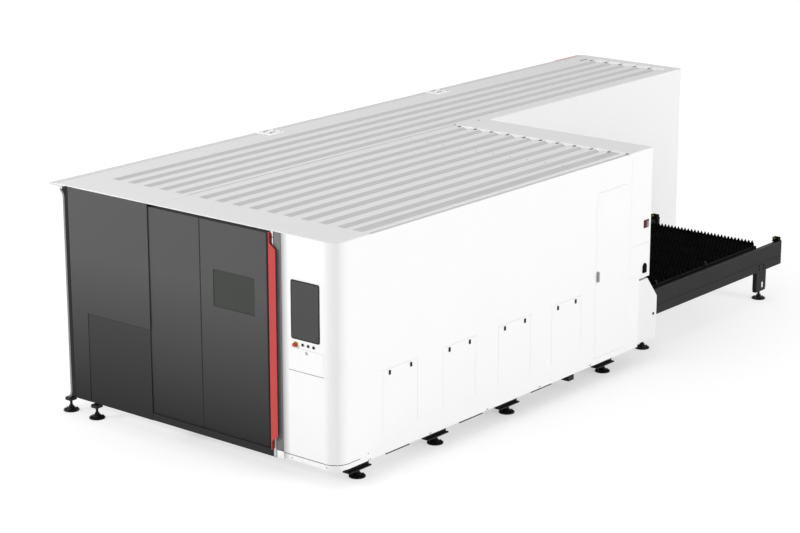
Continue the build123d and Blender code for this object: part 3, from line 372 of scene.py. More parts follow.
# %% Finishes
PEEL_DEPTH = 0.001
LINE_BUMP, LINE_DEPTH = 0.05, 0.0005
PAINTS = {
    "white_paint": ((0.90, 0.895, 0.895), (0.88, 0.875, 0.875), 0.02, (0.38, 0.48), 0.015),
    "roof_paint": ((0.78, 0.78, 0.78), (0.72, 0.72, 0.72), 0.03, (0.5, 0.6), 0.015, 0.3),
    # dark_paint and hatch_paint: a foot colour far below the top colour is a painted reflection, lighter high
    # up.
    "dark_paint": ((0.083, 0.083, 0.084), (0.014, 0.014, 0.015), 0.05, (0.5, 0.6), 0.02, 0.15),
    "hatch_paint": ((0.058, 0.058, 0.059), (0.016, 0.016, 0.017), 0.05, (0.5, 0.6), 0.02, 0.15),
    "black_paint": ((0.014, 0.014, 0.014), (0.012, 0.012, 0.012), 0.1, (0.4, 0.55), 0.03, 0.2),
    "red_paint": ((0.52, 0.05, 0.05), (0.52, 0.05, 0.05), 0.03, (0.4, 0.5), 0.015, 0.3),
    "bezel_plastic": ((0.02, 0.02, 0.021), (0.02, 0.02, 0.021), 0.05, (0.45, 0.55), 0.05, 0.2),
    "yellow_plastic": ((0.75, 0.52, 0.03), (0.75, 0.52, 0.03), 0.04, (0.4, 0.5), 0.02),
    "red_plastic": ((0.55, 0.02, 0.02), (0.55, 0.02, 0.02), 0.04, (0.25, 0.35), 0.01),
    "black_plastic": ((0.006, 0.006, 0.006), (0.006, 0.006, 0.006), 0.1, (0.4, 0.55), 0.05, 0.2),
    "grey_plastic": ((0.32, 0.32, 0.33), (0.32, 0.32, 0.33), 0.05, (0.4, 0.5), 0.05),
    "frame_paint": ((0.22, 0.24, 0.25), (0.2, 0.22, 0.23), 0.1, (0.5, 0.65), 0.04),
    "table_paint": ((0.015, 0.015, 0.016), (0.013, 0.013, 0.014), 0.06, (0.45, 0.6), 0.03, 0.15),
    "slat_steel": ((0.003, 0.003, 0.003), (0.003, 0.003, 0.003), 0.3, (0.6, 0.8), 0.1, 0.04),
    "cover_paint": ((0.84, 0.835, 0.835), (0.82, 0.815, 0.815), 0.02, (0.4, 0.5), 0.015),
    "foot_black": ((0.008, 0.008, 0.008), (0.006, 0.006, 0.006), 0.15, (0.25, 0.4), 0.05, 0.2),
    # Painted shadow: the grey of the strip on the column beside the jamb.
    "jamb_painted_shadow_grey": ((0.19, 0.19, 0.192), (0.17, 0.17, 0.172), 0.05, (0.5, 0.6), 0.02, 0.15),
    # Painted shade: the bead's dark grey stands for the shade on the front edge of the white wall.
    "bead_painted_shade_grey": ((0.24, 0.24, 0.24), (0.22, 0.22, 0.22), 0.05, (0.5, 0.6), 0.02, 0.2),
    "ring_yellow": ((0.42, 0.31, 0.03), (0.42, 0.31, 0.03), 0.05, (0.4, 0.5), 0.02, 0.3),
    # Painted shade: the left wall's grey stands for the shade on that side of a white wall.
    "wall_painted_shade_grey": ((0.60, 0.60, 0.60), (0.58, 0.58, 0.58), 0.03, (0.5, 0.6), 0.015, 0.3),
    "isolator_grey": ((0.30, 0.30, 0.31), (0.30, 0.30, 0.31), 0.1, (0.4, 0.5), 0.05, 0.3),
    "isolator_red": ((0.09, 0.006, 0.006), (0.09, 0.006, 0.006), 0.1, (0.4, 0.5), 0.03, 0.3),
    # Painted shade: the grey of the shallow tenth groove stands for the shade inside a groove.
    "edge_groove_painted_shade": ((0.53, 0.53, 0.53), (0.50, 0.50, 0.50), 0.3, (0.4, 0.5), 0.03, 0.3),
}
METALS = {
    "rail_steel": ((0.55, 0.55, 0.56), 0.6),
    "chuck_steel": ((0.4, 0.4, 0.41), 0.6),
    "jamb_alloy": ((0.62, 0.64, 0.65), 0.3),
    "nozzle_copper": ((0.6, 0.3, 0.18), 0.4),
}


def fed_material(name, group, values, bump_strength, bump_depth):
    material = bpy.data.materials.new(name)
    material.use_nodes = True
    tree = material.node_tree
    shader = tree.nodes["Principled BSDF"]
    effect = add_node(tree, "Group", values, node_tree=group)
    bump = add_node(tree, "Bump", {"Strength": bump_strength, "Distance": bump_depth})
    tree.links.new(effect.outputs["Color"], shader.inputs["Base Color"])
    tree.links.new(effect.outputs["Roughness"], shader.inputs["Roughness"])
    tree.links.new(effect.outputs["Height"], bump.inputs["Height"])
    tree.links.new(bump.outputs["Normal"], shader.inputs["Normal"])
    return material, shader


def coated(name, top, foot, patch, gloss, peel, shine=0.5):
    values = {"Top Color": (*top, 1), "Foot Color": (*foot, 1), "Patchiness": patch}
    values["Gloss Low"], values["Gloss High"] = gloss
    material, shader = fed_material(name, coat, values, peel, PEEL_DEPTH)
    shader.inputs["Specular IOR Level"].default_value = shine
    return material


def lined(name, color, contrast):
    values = {"Color": (*color, 1), "Contrast": contrast}
    material, shader = fed_material(name, tool_lines, values, LINE_BUMP, LINE_DEPTH)
    shader.inputs["Metallic"].default_value = 1.0
    return material


finish = {name: coated(name, *values) for name, values in PAINTS.items()}
for name, values in METALS.items():
    finish[name] = lined(name, *values)
print("finishes", len(finish))

# %% [markdown]
# The roof sheets have long pressed grooves, and their floors are painted greyer than the ridges as painted
# shade, the shade that falls inside the grooves. A mask made from the height of the point, its distance from
# the eave and its slope mixes in that grey, so the steep groove ends stay clean. The eave slopes to the left
# and is painted a little greyer all over as painted shade.

# %% Painted shade in the roof grooves
GROOVE_DEPTH, SHADED_SHARE = 0.020, 0.15
GROOVE_SHADE_EDGE = ROOF_Z / 1000 - 0.001
GROOVE_SHADE_FULL = ROOF_Z / 1000 - GROOVE_DEPTH * SHADED_SHARE
LEVEL_ENOUGH = 0.4
EAVE_ROOT = at(70, 0, 0)[0]
# Painted shade: the grey of the groove floors and the grey of the eave slope.
GROOVE_PAINTED_SHADE, EAVE_PAINTED_SHADE = (0.58, 0.58, 0.58), (0.68, 0.68, 0.68)


def open_coat(material):
    tree = material.node_tree
    shader = tree.nodes["Principled BSDF"]
    clean = shader.inputs["Base Color"].links[0].from_socket
    place = add_node(tree, "TexCoord")
    split = add_node(tree, "SeparateXYZ")
    tree.links.new(place.outputs["Object"], split.inputs[0])
    return tree, shader, clean, split


def add_groove_dust(material, painted_shade, eave_painted_shade):
    tree, shader, clean, split = open_coat(material)
    link = tree.links.new
    depth = add_node(tree, "MapRange", {"From Min": GROOVE_SHADE_EDGE, "From Max": GROOVE_SHADE_FULL})
    link(split.outputs["Z"], depth.inputs["Value"])
    inside = add_node(tree, "Math", {1: EAVE_ROOT}, operation="GREATER_THAN")
    link(split.outputs["X"], inside.inputs[0])
    within = add_node(tree, "Math", operation="MULTIPLY")
    link(depth.outputs["Result"], within.inputs[0])
    link(inside.outputs[0], within.inputs[1])
    turned = add_node(tree, "NewGeometry")
    facing = add_node(tree, "SeparateXYZ")
    link(turned.outputs["True Normal"], facing.inputs[0])
    level = add_node(tree, "Math", {1: LEVEL_ENOUGH}, operation="GREATER_THAN")
    link(facing.outputs["Z"], level.inputs[0])
    mask = add_node(tree, "Math", operation="MULTIPLY")
    link(within.outputs[0], mask.inputs[0])
    link(level.outputs[0], mask.inputs[1])
    # Painted shade: the groove floors are mixed towards grey.
    shaded = add_node(tree, "Mix", data_type="RGBA")
    shaded.inputs["B"].default_value = (*painted_shade, 1)
    link(mask.outputs[0], shaded.inputs["Factor"])
    link(clean, shaded.inputs["A"])
    slope = add_node(tree, "Mix", data_type="RGBA")
    slope.inputs["A"].default_value = (*eave_painted_shade, 1)
    link(inside.outputs[0], slope.inputs["Factor"])
    link(shaded.outputs["Result"], slope.inputs["B"])
    link(slope.outputs["Result"], shader.inputs["Base Color"])


finish["grooved_roof"] = finish["roof_paint"].copy()
finish["grooved_roof"].name = "grooved_roof"
add_groove_dust(finish["grooved_roof"], GROOVE_PAINTED_SHADE, EAVE_PAINTED_SHADE)
print("groove dust ready")

# %% [markdown]
# The white column turns into the door opening with a rounded edge. Its colour goes from grey to white there
# without a border, as a painted shadow of the red handle and the door. A mask that grows with the distance
# from the jamb mixes the two.

# %% Painted shadow beside the jamb
# Painted shadow: the column's colour goes from grey to white over this span.
FADE_START, FADE_END, FADE_CURVE = at(2869, 0, 0)[0], at(2960, 0, 0)[0], 0.65
JAMB_SHADE = (0.17, 0.17, 0.172)


def add_jamb_fade(material, shade):
    tree, shader, clean, split = open_coat(material)
    link = tree.links.new
    across = add_node(tree, "MapRange", {"From Min": FADE_START, "From Max": FADE_END})
    link(split.outputs["X"], across.inputs["Value"])
    rise = add_node(tree, "Math", {1: FADE_CURVE}, operation="POWER")
    link(across.outputs["Result"], rise.inputs[0])
    mixed = add_node(tree, "Mix", data_type="RGBA")
    mixed.inputs["A"].default_value = (*shade, 1)
    link(rise.outputs[0], mixed.inputs["Factor"])
    link(clean, mixed.inputs["B"])
    link(mixed.outputs["Result"], shader.inputs["Base Color"])


finish["column_painted_shadow"] = finish["white_paint"].copy()
finish["column_painted_shadow"].name = "column_painted_shadow"
add_jamb_fade(finish["column_painted_shadow"], JAMB_SHADE)
print("jamb fade ready")

# %% [markdown]
# The door's window is thick dark laser glass and the screen is a switched-off display. Both are deep in
# colour and only faintly glossy, so that they read as dark fields, and a slow haze in the colour keeps
# them from looking flat.

# %% Glass finishes
GLASS_ROUGHNESS, GLASS_SHINE = 0.3, 0.15
HAZE_SCALE, HAZE_SPREAD = 3.0, (("A", 0.92), ("B", 1.08))
GLASSES = {"window_glass": (0.046, 0.051, 0.045), "screen_glass": (0.066, 0.066, 0.067)}


def glassy(name, color):
    material = bpy.data.materials.new(name)
    material.use_nodes = True
    tree = material.node_tree
    shader = tree.nodes["Principled BSDF"]
    place = add_node(tree, "TexCoord")
    haze = add_node(tree, "TexNoise", {"Scale": HAZE_SCALE})
    tree.links.new(place.outputs["Object"], haze.inputs["Vector"])
    ramp = add_node(tree, "Mix", data_type="RGBA")
    for end, share in HAZE_SPREAD:
        ramp.inputs[end].default_value = (*[c * share for c in color], 1)
    tree.links.new(haze.outputs["Fac"], ramp.inputs["Factor"])
    tree.links.new(ramp.outputs["Result"], shader.inputs["Base Color"])
    shader.inputs["Roughness"].default_value = GLASS_ROUGHNESS
    shader.inputs["Specular IOR Level"].default_value = GLASS_SHINE
    return material


for name, color in GLASSES.items():
    finish[name] = glassy(name, color)
print("glass finishes ready")

# %% [markdown]
# Every solid of the frame gets the finish of its slot in the record, but for a few that have their own.

# %% Finish the solids
OWN_FINISH = {
    "sheet_roof": "grooved_roof",
    # The left wall gets a grey that is painted shade.
    "left_wall": "wall_painted_shade_grey",
    "tube_roof": "grooved_roof",
    "isolator_plate": "isolator_red",
    "isolator_switch": "isolator_grey",
    "rear_cover_latch": "slat_steel",
    "pallet_rails": "table_paint",
    # The column's paint carries a painted shadow beside the jamb.
    "control_column": "column_painted_shadow",
    "foot_brackets": "foot_black",
}
slot_of = {entry["node"]: entry["material_slot"] for entry in frame["record"]["subparts"]}
for name, obj in nodes.items():
    obj.data.materials.clear()
    obj.data.materials.append(finish[OWN_FINISH.get(name, slot_of[name])])
print("finished", len(nodes), "solids")

# %% [markdown]
# The exchange pallets carry the sheet on thin steel slats with saw teeth, packed closely. The solids hold
# every fifth slat. The ones between are modelled once: a block for one tooth is pulled up to an edge,
# an array repeats it across the pallet, and the finished slat is copied along the pallet. One slat at the
# far end stands a little higher.

# %% Slats between the solid ones
SLAT_LEFT, SLAT_RIGHT = 1666, 3201
TEETH = 35
TOOTH_PITCH = (SLAT_RIGHT - SLAT_LEFT) / TEETH
SLAT_BOTTOM, SLAT_SHOULDER, TOOTH_RISE, SLAT_THICK = 554, 614, 35, 6
TOOTH_TIP = 0.03
SLATS_BETWEEN = 4
FIRST_SLAT, SLAT_STEP, SOLID_SLATS = 60, 2930 / 7, 8
END_SLAT, END_LIFT = 3045, 20
PALLETS = {"pallet_upper": (4370, 0), "pallet_lower": (400, 190)}


def one_slat(name, y, drop, lift=0):
    tooth = slab(
        name, SLAT_LEFT, SLAT_LEFT + TOOTH_PITCH, y - SLAT_THICK / 2, y + SLAT_THICK / 2,
        SLAT_BOTTOM - drop, SLAT_SHOULDER - drop + lift, edge=0,
    )
    select_faces(tooth, lambda face: face.normal.z > 0.9)
    pull(0, 0, TOOTH_RISE)
    bpy.ops.transform.resize(value=(TOOTH_TIP, 1, 1))
    leave_edit()
    repeat(tooth, "teeth", TEETH, (TOOTH_PITCH / 1000, 0, 0), merge=True)
    return tooth


for pallet, (start, drop) in PALLETS.items():
    first = one_slat(pallet + "_slat", start + FIRST_SLAT + SLAT_STEP / (SLATS_BETWEEN + 1), drop)
    rows = [first]
    for gap in range(SOLID_SLATS - 1):
        for step in range(1, SLATS_BETWEEN + 1):
            shift = SLAT_STEP * (gap + (step - 1) / (SLATS_BETWEEN + 1))
            if shift > 0:
                rows.append(copy_at(first, pallet + "_slat", 0, shift))
    rows.append(one_slat(pallet + "_end_slat", start + END_SLAT, drop, lift=END_LIFT))
    dense = join(pallet + "_dense_slats", rows)
    dress(dense, "slat_steel", pallet)
    print(dense.name, "slats", len(rows), "faces", len(dense.data.polygons))

# %% [markdown]
# The front has joints that the eye reads as lines: a black strip in the left recess as a painted shadow of
# the gap there, the seam between the two fields of the sliding door, a black brush strip between the door and
# its red handle, the bright alloy face of the jamb and, beside it, a dark grey strip on the column as a
# painted shadow of the red handle.

# %% Painted shadows, seams and jamb at the front
RECESS_SHADOW_BOX = (165.5, 204, -2, 24.5, SKIRT_LOW, 2200)
BRUSH_BOX = (2695, 2752, 8, 17.5, LEAF_LOW, LEAF_HIGH - 1)
BRUSH_RIB_LEFTS, BRUSH_RIB_WIDTH, BRUSH_RIB_FACE = (2708, 2724, 2740), 5, (5, 9)
SEAM_BOX = (1884.5, 1895.5, 11, 13.5, LEAF_LOW, LEAF_HIGH)
JAMB_TOP = 2213
JAMB_FACE_BOX = (2761, 2793, -1.5, 0, SKIRT_LOW, JAMB_TOP)
JAMB_LIP_BOX = (2788, 2793, -4, -1, SKIRT_LOW, JAMB_TOP)
JAMB_SHADOW_BOX = (2794, 2870, 2, 9, LEAF_LOW, JAMB_TOP - 1)
SKIRT_CORNER_BOX = (2794, 2880, 2, 9, SKIRT_LOW, LEAF_LOW - 2)
CATCH_BOX = (2766, 2791, -6, -1.5, 2160, 2168)
# Painted shadow: a black strip fills the gap of the left recess.
recess_shadow = slab("left_recess_shadow_strip", *RECESS_SHADOW_BOX, edge=3, segments=3)
dress(recess_shadow, "black_plastic")
brush = [slab("door_brush", *BRUSH_BOX, edge=2)]
for x in BRUSH_RIB_LEFTS:
    rib_box = (x, x + BRUSH_RIB_WIDTH, *BRUSH_RIB_FACE, LEAF_LOW + 2, LEAF_HIGH - 3)
    brush.append(slab("door_brush_rib", *rib_box, edge=1.5))
dress(join("door_edge_brush", brush), "black_plastic", "front_door")
seam = slab("leaf_seam", *SEAM_BOX, edge=0.6)
dress(seam, "black_plastic", "front_door")
jamb = [slab("jamb_face", *JAMB_FACE_BOX, edge=0.6), slab("jamb_lip", *JAMB_LIP_BOX, edge=0.8)]
dress(join("jamb_alloy_face", jamb), "jamb_alloy")
# Painted shadow: a dark grey strip on the column beside the red handle.
jamb_shadow = slab("jamb_shadow_strip", *JAMB_SHADOW_BOX, edge=3, segments=4)
dress(jamb_shadow, "jamb_painted_shadow_grey")
corner = slab("skirt_corner", *SKIRT_CORNER_BOX, edge=2, segments=3)
dress(corner, "white_paint")
catch = slab("jamb_catch", *CATCH_BOX, edge=1.2)
dress(catch, "black_plastic")
print("front joints dressed")

# %% [markdown]
# The left wall ends in an edge bead, painted dark grey as painted shade on the front edge of the white wall,
# with a black strip inside it as a painted shadow of the gap behind the edge. Both follow the curve under the
# eave and the flare at the foot. A straight bar is made first, and its end faces are pulled round in steps,
# as a bar is bent round a former. A flat black block closes the angle under the roof as painted shadow.

# %% Left edge bead
BEND_X, BEND_TOP, BEND_FOOT, FOOT_TURN = 66, 2101, 203, -60
BEAD_SPAN, EDGE_SHADOW_SPAN = (138, 161, -3, 2), (161, 174, -2.5, 2)
CORNER_SHADOW_BOX = (134, 203, -2.2, 2, 2146, 2207)


def bent_bar(name, x0, x1, y0, y1, top_turn):
    bar = slab(name, x0, x1, y0, y1, BEND_FOOT, BEND_TOP, edge=0)
    for up, degrees, height in ((-1, FOOT_TURN, BEND_FOOT), (1, top_turn, BEND_TOP)):
        pull_round(bar, lambda face: face.normal.z * up > 0.99, degrees, "Y", at(BEND_X, y0, height))
        leave_edit()
    return soften(bar, 1.2)


bead = bent_bar("left_edge_bead", *BEAD_SPAN, top_turn=64)
# Painted shadow: black strips inside the bead and under the roof.
edge_shadow = [bent_bar("edge_shadow", *EDGE_SHADOW_SPAN, top_turn=52)]
edge_shadow.append(slab("corner_shadow_block", *CORNER_SHADOW_BOX, edge=1))
edge_shadow = join("left_edge_shadow_strip", edge_shadow)
dress(bead, "bead_painted_shade_grey")
dress(edge_shadow, "black_plastic")
print("bead spans", [round(v, 3) for v in bead.dimensions])

# %% [markdown]
# The column stands on a skirt, and the joint between them is a fine dark line that runs round both corners.
# It is a thin strip whose ends are pulled round the corners in the same way.

# %% Skirt joint of the column
CORNER_LEFT, CORNER_RIGHT = (2904, 110), (3357, 150)
JOINT_FACE, JOINT_ZS, JOINT_MIDDLE, JOINT_RUN = (-0.7, 2), (221, 226), 223, 150
joint = slab("skirt_joint_line", CORNER_LEFT[0], CORNER_RIGHT[0], *JOINT_FACE, *JOINT_ZS, edge=0)
for side, degrees, (x, y) in ((-1, 60, CORNER_LEFT), (1, -90, CORNER_RIGHT)):
    pull_round(joint, lambda face: face.normal.x * side > 0.99, degrees, "Z", at(x, y, JOINT_MIDDLE))
    if side == 1:
        pull(0, JOINT_RUN, 0)
    leave_edit()
dress(soften(joint, 0.4), "bezel_plastic")
print("skirt joint spans", [round(v, 3) for v in joint.dimensions])

# %% [markdown]
# The window sits in a rubber gasket. Four rounded bars make the frame, with mitred looking corners where
# they meet.

# %% Window gasket
WINDOW_LEFT, WINDOW_RIGHT, WINDOW_LOW, WINDOW_HIGH = 2049, 2549, 1403, 1750
GASKET, GASKET_FACE = 5, (11, 13)
low_bar = (WINDOW_LEFT, WINDOW_RIGHT, *GASKET_FACE, WINDOW_LOW, WINDOW_LOW + GASKET)
high_bar = (WINDOW_LEFT, WINDOW_RIGHT, *GASKET_FACE, WINDOW_HIGH - GASKET, WINDOW_HIGH)
left_bar = (WINDOW_LEFT, WINDOW_LEFT + GASKET, *GASKET_FACE, WINDOW_LOW, WINDOW_HIGH)
right_bar = (WINDOW_RIGHT - GASKET, WINDOW_RIGHT, *GASKET_FACE, WINDOW_LOW, WINDOW_HIGH)
gasket = [slab("gasket", *bar, edge=0.8) for bar in (low_bar, high_bar, left_bar)]
gasket.append(slab("gasket_right", *right_bar, edge=1.5))
dress(join("window_gasket", gasket), "hatch_paint", "front_door")
print("window gasket ready")

# %% [markdown]
# Pan head screws hold the skirts and covers. A screw is a short disc with a rounded rim and a field pressed
# into its face. Rubber buffers sit under the right wall, between its feet.

# %% Screws
SCREW = {"radius": 6, "length": 3, "edge": 1.2, "sides": 20}
SCREW_OUT, FIELD_DEPTH = 1.5, 1
CURVE_START, CURVE_BACK = 3357, 1.3
FRONT_SCREWS = ((2976, 194), (3377, 194))
CORNER_SCREWS = ((403, 245), (408, 182), (432, 182))
SKIRT_PAIRS = ((1266, 188), (2112, 188), (2946, 192), (3790, 192))
PAIR_STEP = 18
BUFFERS = ((656, 985), (1714, 2062), (2830, 3158))
BUFFER_LEFT, BUFFER_RIGHT, BUFFER_LOW, BUFFER_HIGH = 3484, 3504, 160, 175


def front_screw(name, x, z):
    back = 0 if x < CURVE_START else CURVE_BACK
    head = disc(name, x, back - SCREW_OUT, z, axis="y", **SCREW)
    press_in(head, lambda face: face.normal.y < -0.9, rim=3, depth=FIELD_DEPTH)
    return head


def side_screw(name, y, z):
    head = disc(name, BODY_RIGHT + SCREW_OUT, y, z, axis="x", **SCREW)
    press_in(head, lambda face: face.normal.x > 0.9, rim=2.6, depth=FIELD_DEPTH)
    return head


screws = [front_screw("screw", x, z) for x, z in FRONT_SCREWS]
side_places = list(CORNER_SCREWS)
for y, z in SKIRT_PAIRS:
    side_places += [(y, z), (y + PAIR_STEP, z)]
screws += [side_screw("screw", y, z) for y, z in side_places]
dress(join("skirt_screws", screws), "grey_plastic")
buffers = []
for y0, y1 in BUFFERS:
    buffer_box = (BUFFER_LEFT, BUFFER_RIGHT, y0, y1, BUFFER_LOW, BUFFER_HIGH)
    buffers.append(slab("buffer", *buffer_box, edge=3, segments=3))
dress(join("wall_buffers", buffers), "black_plastic")
print("screws", len(screws))

# %% [markdown]
# The roof sheet of the tube bay goes on past the lifting plates and falls gently to the tip of the eave. It
# is a long block whose outer face is squeezed down.

# %% Eave sheet
EAVE_TIP, EAVE_INNER, EAVE_BASE = -50, 62, 2203
EAVE_FRONT, EAVE_REAR = -0.6, 8607
EAVE_RISE, TIP_RISE = 22.6, 9.6
eave_box = (EAVE_TIP, EAVE_INNER, EAVE_FRONT, EAVE_REAR, EAVE_BASE, EAVE_BASE + EAVE_RISE)
eave = slab("eave_sheet", *eave_box, edge=0)
tip_share = (1, 1, TIP_RISE / EAVE_RISE)
taper(eave, lambda face: face.normal.x < -0.9, tip_share, center_override=at(EAVE_TIP, 0, EAVE_BASE))
dress(soften(eave, 1), "grooved_roof")
print("eave sheet spans", [round(v, 3) for v in eave.dimensions])

# %% [markdown]
# The roofs are screwed down along their rims. The left eave ends in a short red strip, and a dark slot and
# three plugs mark where lifting gear and cables pass. Each lifting plate has four bolts and two slots, and
# black blocks in the slots are a painted shadow.

# %% Roof pieces
PLUGS = ((1329, 4400), (1385, 4736), (3484, 4394))
ROOF_SLOT_BOX = (217, 233, 8256, 8398, ROOF_Z - 1, ROOF_Z + 2)
EAVE_STRIP_BOX = (-49, -30, 8109, 8602, 2210, 2216)
SEAM_LINE_BOX = (1332, 1341, 440, 4405, ROOF_Z - 1, ROOF_Z + 1)
RIM_ROWS = ((1400, 2225.8, range(200, 4700, 500)), (205, 2226, range(300, 8500, 600)))
PLATE_FRONTS = (2802, 5560)
BOLT_XS, BOLT_YS, BOLT_Z = (75, 170), (25, 183), 2239
SLOT_SHADOW_LEFTS, SLOT_SHADOW_WIDTH, SLOT_SHADOW_YS, SLOT_SHADOW_ZS = (28, 118), 24, (52, 139), (2226, 2232)
plugs = [disc("plug", x, y, ROOF_Z + 1, radius=9, length=4, axis="z", edge=1.2) for x, y in PLUGS]
plugs.append(slab("roof_slot", *ROOF_SLOT_BOX, edge=1))
dress(join("roof_plugs", plugs), "bezel_plastic")
strip = slab("eave_strip", *EAVE_STRIP_BOX, edge=0.8)
dress(strip, "red_paint")
rim_screws = []
for x, z, row in RIM_ROWS:
    for y in row:
        rim_screws.append(disc("rim_screw", x, y, z, radius=5, length=2.4, axis="z", edge=0.8, sides=16))
dress(join("roof_rim_screws", rim_screws), "roof_paint")
bolts = []
for front in PLATE_FRONTS:
    for x in BOLT_XS:
        for y in BOLT_YS:
            bolts.append(disc("plate_bolt", x, front + y, BOLT_Z, radius=9, length=8, axis="z", sides=6))
dress(join("lifting_plate_bolts", bolts), "rail_steel")
seam_line = slab("roof_seam_line", *SEAM_LINE_BOX, edge=0.6)
dress(seam_line, "grey_plastic")
# Painted shadow: black blocks in the slots of the lifting plates.
slot_shadows = []
for front in PLATE_FRONTS:
    for x in SLOT_SHADOW_LEFTS:
        slot_shadow_box = (x, x + SLOT_SHADOW_WIDTH, front + SLOT_SHADOW_YS[0], front + SLOT_SHADOW_YS[1], *SLOT_SHADOW_ZS)
        slot_shadows.append(slab("slot_shadow_block", *slot_shadow_box, edge=1))
dress(join("lifting_slot_shadows", slot_shadows), "black_plastic")
print("roof pieces ready")

# %% [markdown]
# At the rear each roof groove closes with a sloped cap, and a black block in its corner is a painted shadow
# where the groove's slope meets the cap. A row of screws marks a joint across the sheet roof. A tenth,
# shallower groove runs along the right edge: a strip is inset and its middle pushed down, so that it has a
# rim like the pressed ones, and its grey is painted shade. The cap is a bar with a wide bevel, because the
# slope is what catches the light from the front, and it is painted white, lighter than the roof, as a
# painted highlight.

# %% Groove ends of the roofs
SHEET_LEFT, SHEET_PITCH, SHEET_GROOVES = 1430, 208, 10
TUBE_LEFT, TUBE_PITCH, TUBE_GROOVES = 329, 205.5, 5
SHEET_CAP_Y, TUBE_CAP_Y = 4372, 8368
SHEET_CAP_DEEP, TUBE_CAP_DEEP = 26, 74
SHEET_CAP_FOOT, TUBE_CAP_FOOT, CAP_FOOT_WIDTH, CAP_FOOT_LOW = 31, 7, 108, 2206
CAP_WIDTH, CAP_FOOT_LIMIT = 160, 3400
SHADOW_NOTCH_LEFT, SHADOW_NOTCH_RIGHT, SHADOW_NOTCH_FRONT, SHADOW_NOTCH_REAR = -16, 6, -44, 2
ROOF_JOINT_LEFT, ROOF_JOINT_Y = 1424, 3560
EDGE_GROOVE_BOX = (3308, 3419, 440, SHEET_CAP_Y, ROOF_Z - 2, 2226.4)
EDGE_GROOVE_RIM, EDGE_GROOVE_DEPTH = 0.003, 0.0012
GROOVE_ENDS = {
    "sheet": (SHEET_LEFT, SHEET_PITCH, SHEET_GROOVES, SHEET_CAP_Y, SHEET_CAP_DEEP, SHEET_CAP_FOOT),
    "tube": (TUBE_LEFT, TUBE_PITCH, TUBE_GROOVES, TUBE_CAP_Y, TUBE_CAP_DEEP, TUBE_CAP_FOOT),
}
for roof, (left, pitch, count, y, deep, foot) in GROOVE_ENDS.items():
    caps, shadow_notches = [], []
    for x in [left + pitch * index for index in range(count)]:
        cap_box = (x, x + CAP_WIDTH, y, y + deep, ROOF_Z - 2, ROOF_Z + 8)
        caps.append(slab("cap", *cap_box, edge=7))
        foot_left, foot_right = x + foot, x + foot + CAP_FOOT_WIDTH
        if foot_right < CAP_FOOT_LIMIT:
            foot_box = (foot_left, foot_right, y + 1, y + deep - 1, CAP_FOOT_LOW, ROOF_Z + 3)
            caps.append(slab("cap_foot", *foot_box, edge=1))
        # Painted shadow: a black block in the corner of each groove end.
        shadow_notch_span = (x + SHADOW_NOTCH_LEFT, x + SHADOW_NOTCH_RIGHT, y + SHADOW_NOTCH_FRONT, y + SHADOW_NOTCH_REAR)
        shadow_notches.append(slab("shadow_notch", *shadow_notch_span, ROOF_Z - 2, ROOF_Z + 3, edge=1.5))
    # Painted highlight: the caps' white is lighter than the roof paint of the sheet they close.
    dress(join(roof + "_groove_caps", caps), "white_paint")
    dress(join(roof + "_groove_shadow_notches", shadow_notches), "bezel_plastic")
    print(roof, "groove ends", count)
joint_screws = []
for index in range(SHEET_GROOVES):
    x = ROOF_JOINT_LEFT + SHEET_PITCH * index
    joint_screws.append(disc("joint_screw", x, ROOF_JOINT_Y, ROOF_Z + 1, 7, 3, "z", sides=16))
dress(join("roof_joint_screws", joint_screws), "grey_plastic")
# Painted shade: the tenth groove is given a grey that stands for the shade in the pressed grooves.
shallow = slab("edge_groove_tray", *EDGE_GROOVE_BOX, edge=0.8)
select_faces(shallow, lambda face: face.normal.z > 0.99)
bpy.ops.mesh.inset(thickness=EDGE_GROOVE_RIM)
bpy.ops.transform.translate(value=(0, 0, -EDGE_GROOVE_DEPTH))
leave_edit()
dress(shallow, "edge_groove_painted_shade")
print("tenth groove ready")

# %% [markdown]
# A levelling foot is a ribbed round pad, a hexagon nut and a stem. The solid foot is many sided, so the
# visible one is turned afresh: a disc is inset and raised in steps like work on a lathe, ribs are set round
# it, and the whole is copied to every seat. The feet differ in the height of their stems.

# %% Levelling feet
PAD_RADIUS, PAD_HEIGHT, PAD_RIM = 76.5, 12, 0.008
PAD_STEPS = ((10, 0.72), (14, 0.66))
RIBS, RIB_IN, RIB_OUT, RIB_HALF, RIB_TOP = 10, 32, 66, 3, 24
NUT_Z, STEM_LOW = 45, 36
BODY_FOOT, BAY_FOOT, TABLE_FOOT = 70, 107, 112
LEG_XS, LEG_YS = (1607, 3260), (5113, 7465)
SEATS = {
    BODY_FOOT: [(3381, y) for y in (402, 1504, 2600, 4210)] + [(1542, y) for y in (402, 4210)],
    BAY_FOOT: [(x, 12) for x in (124, 480)] + [(x, 8480) for x in (300, 1250)],
    TABLE_FOOT: [(x, y) for x in LEG_XS for y in LEG_YS],
}


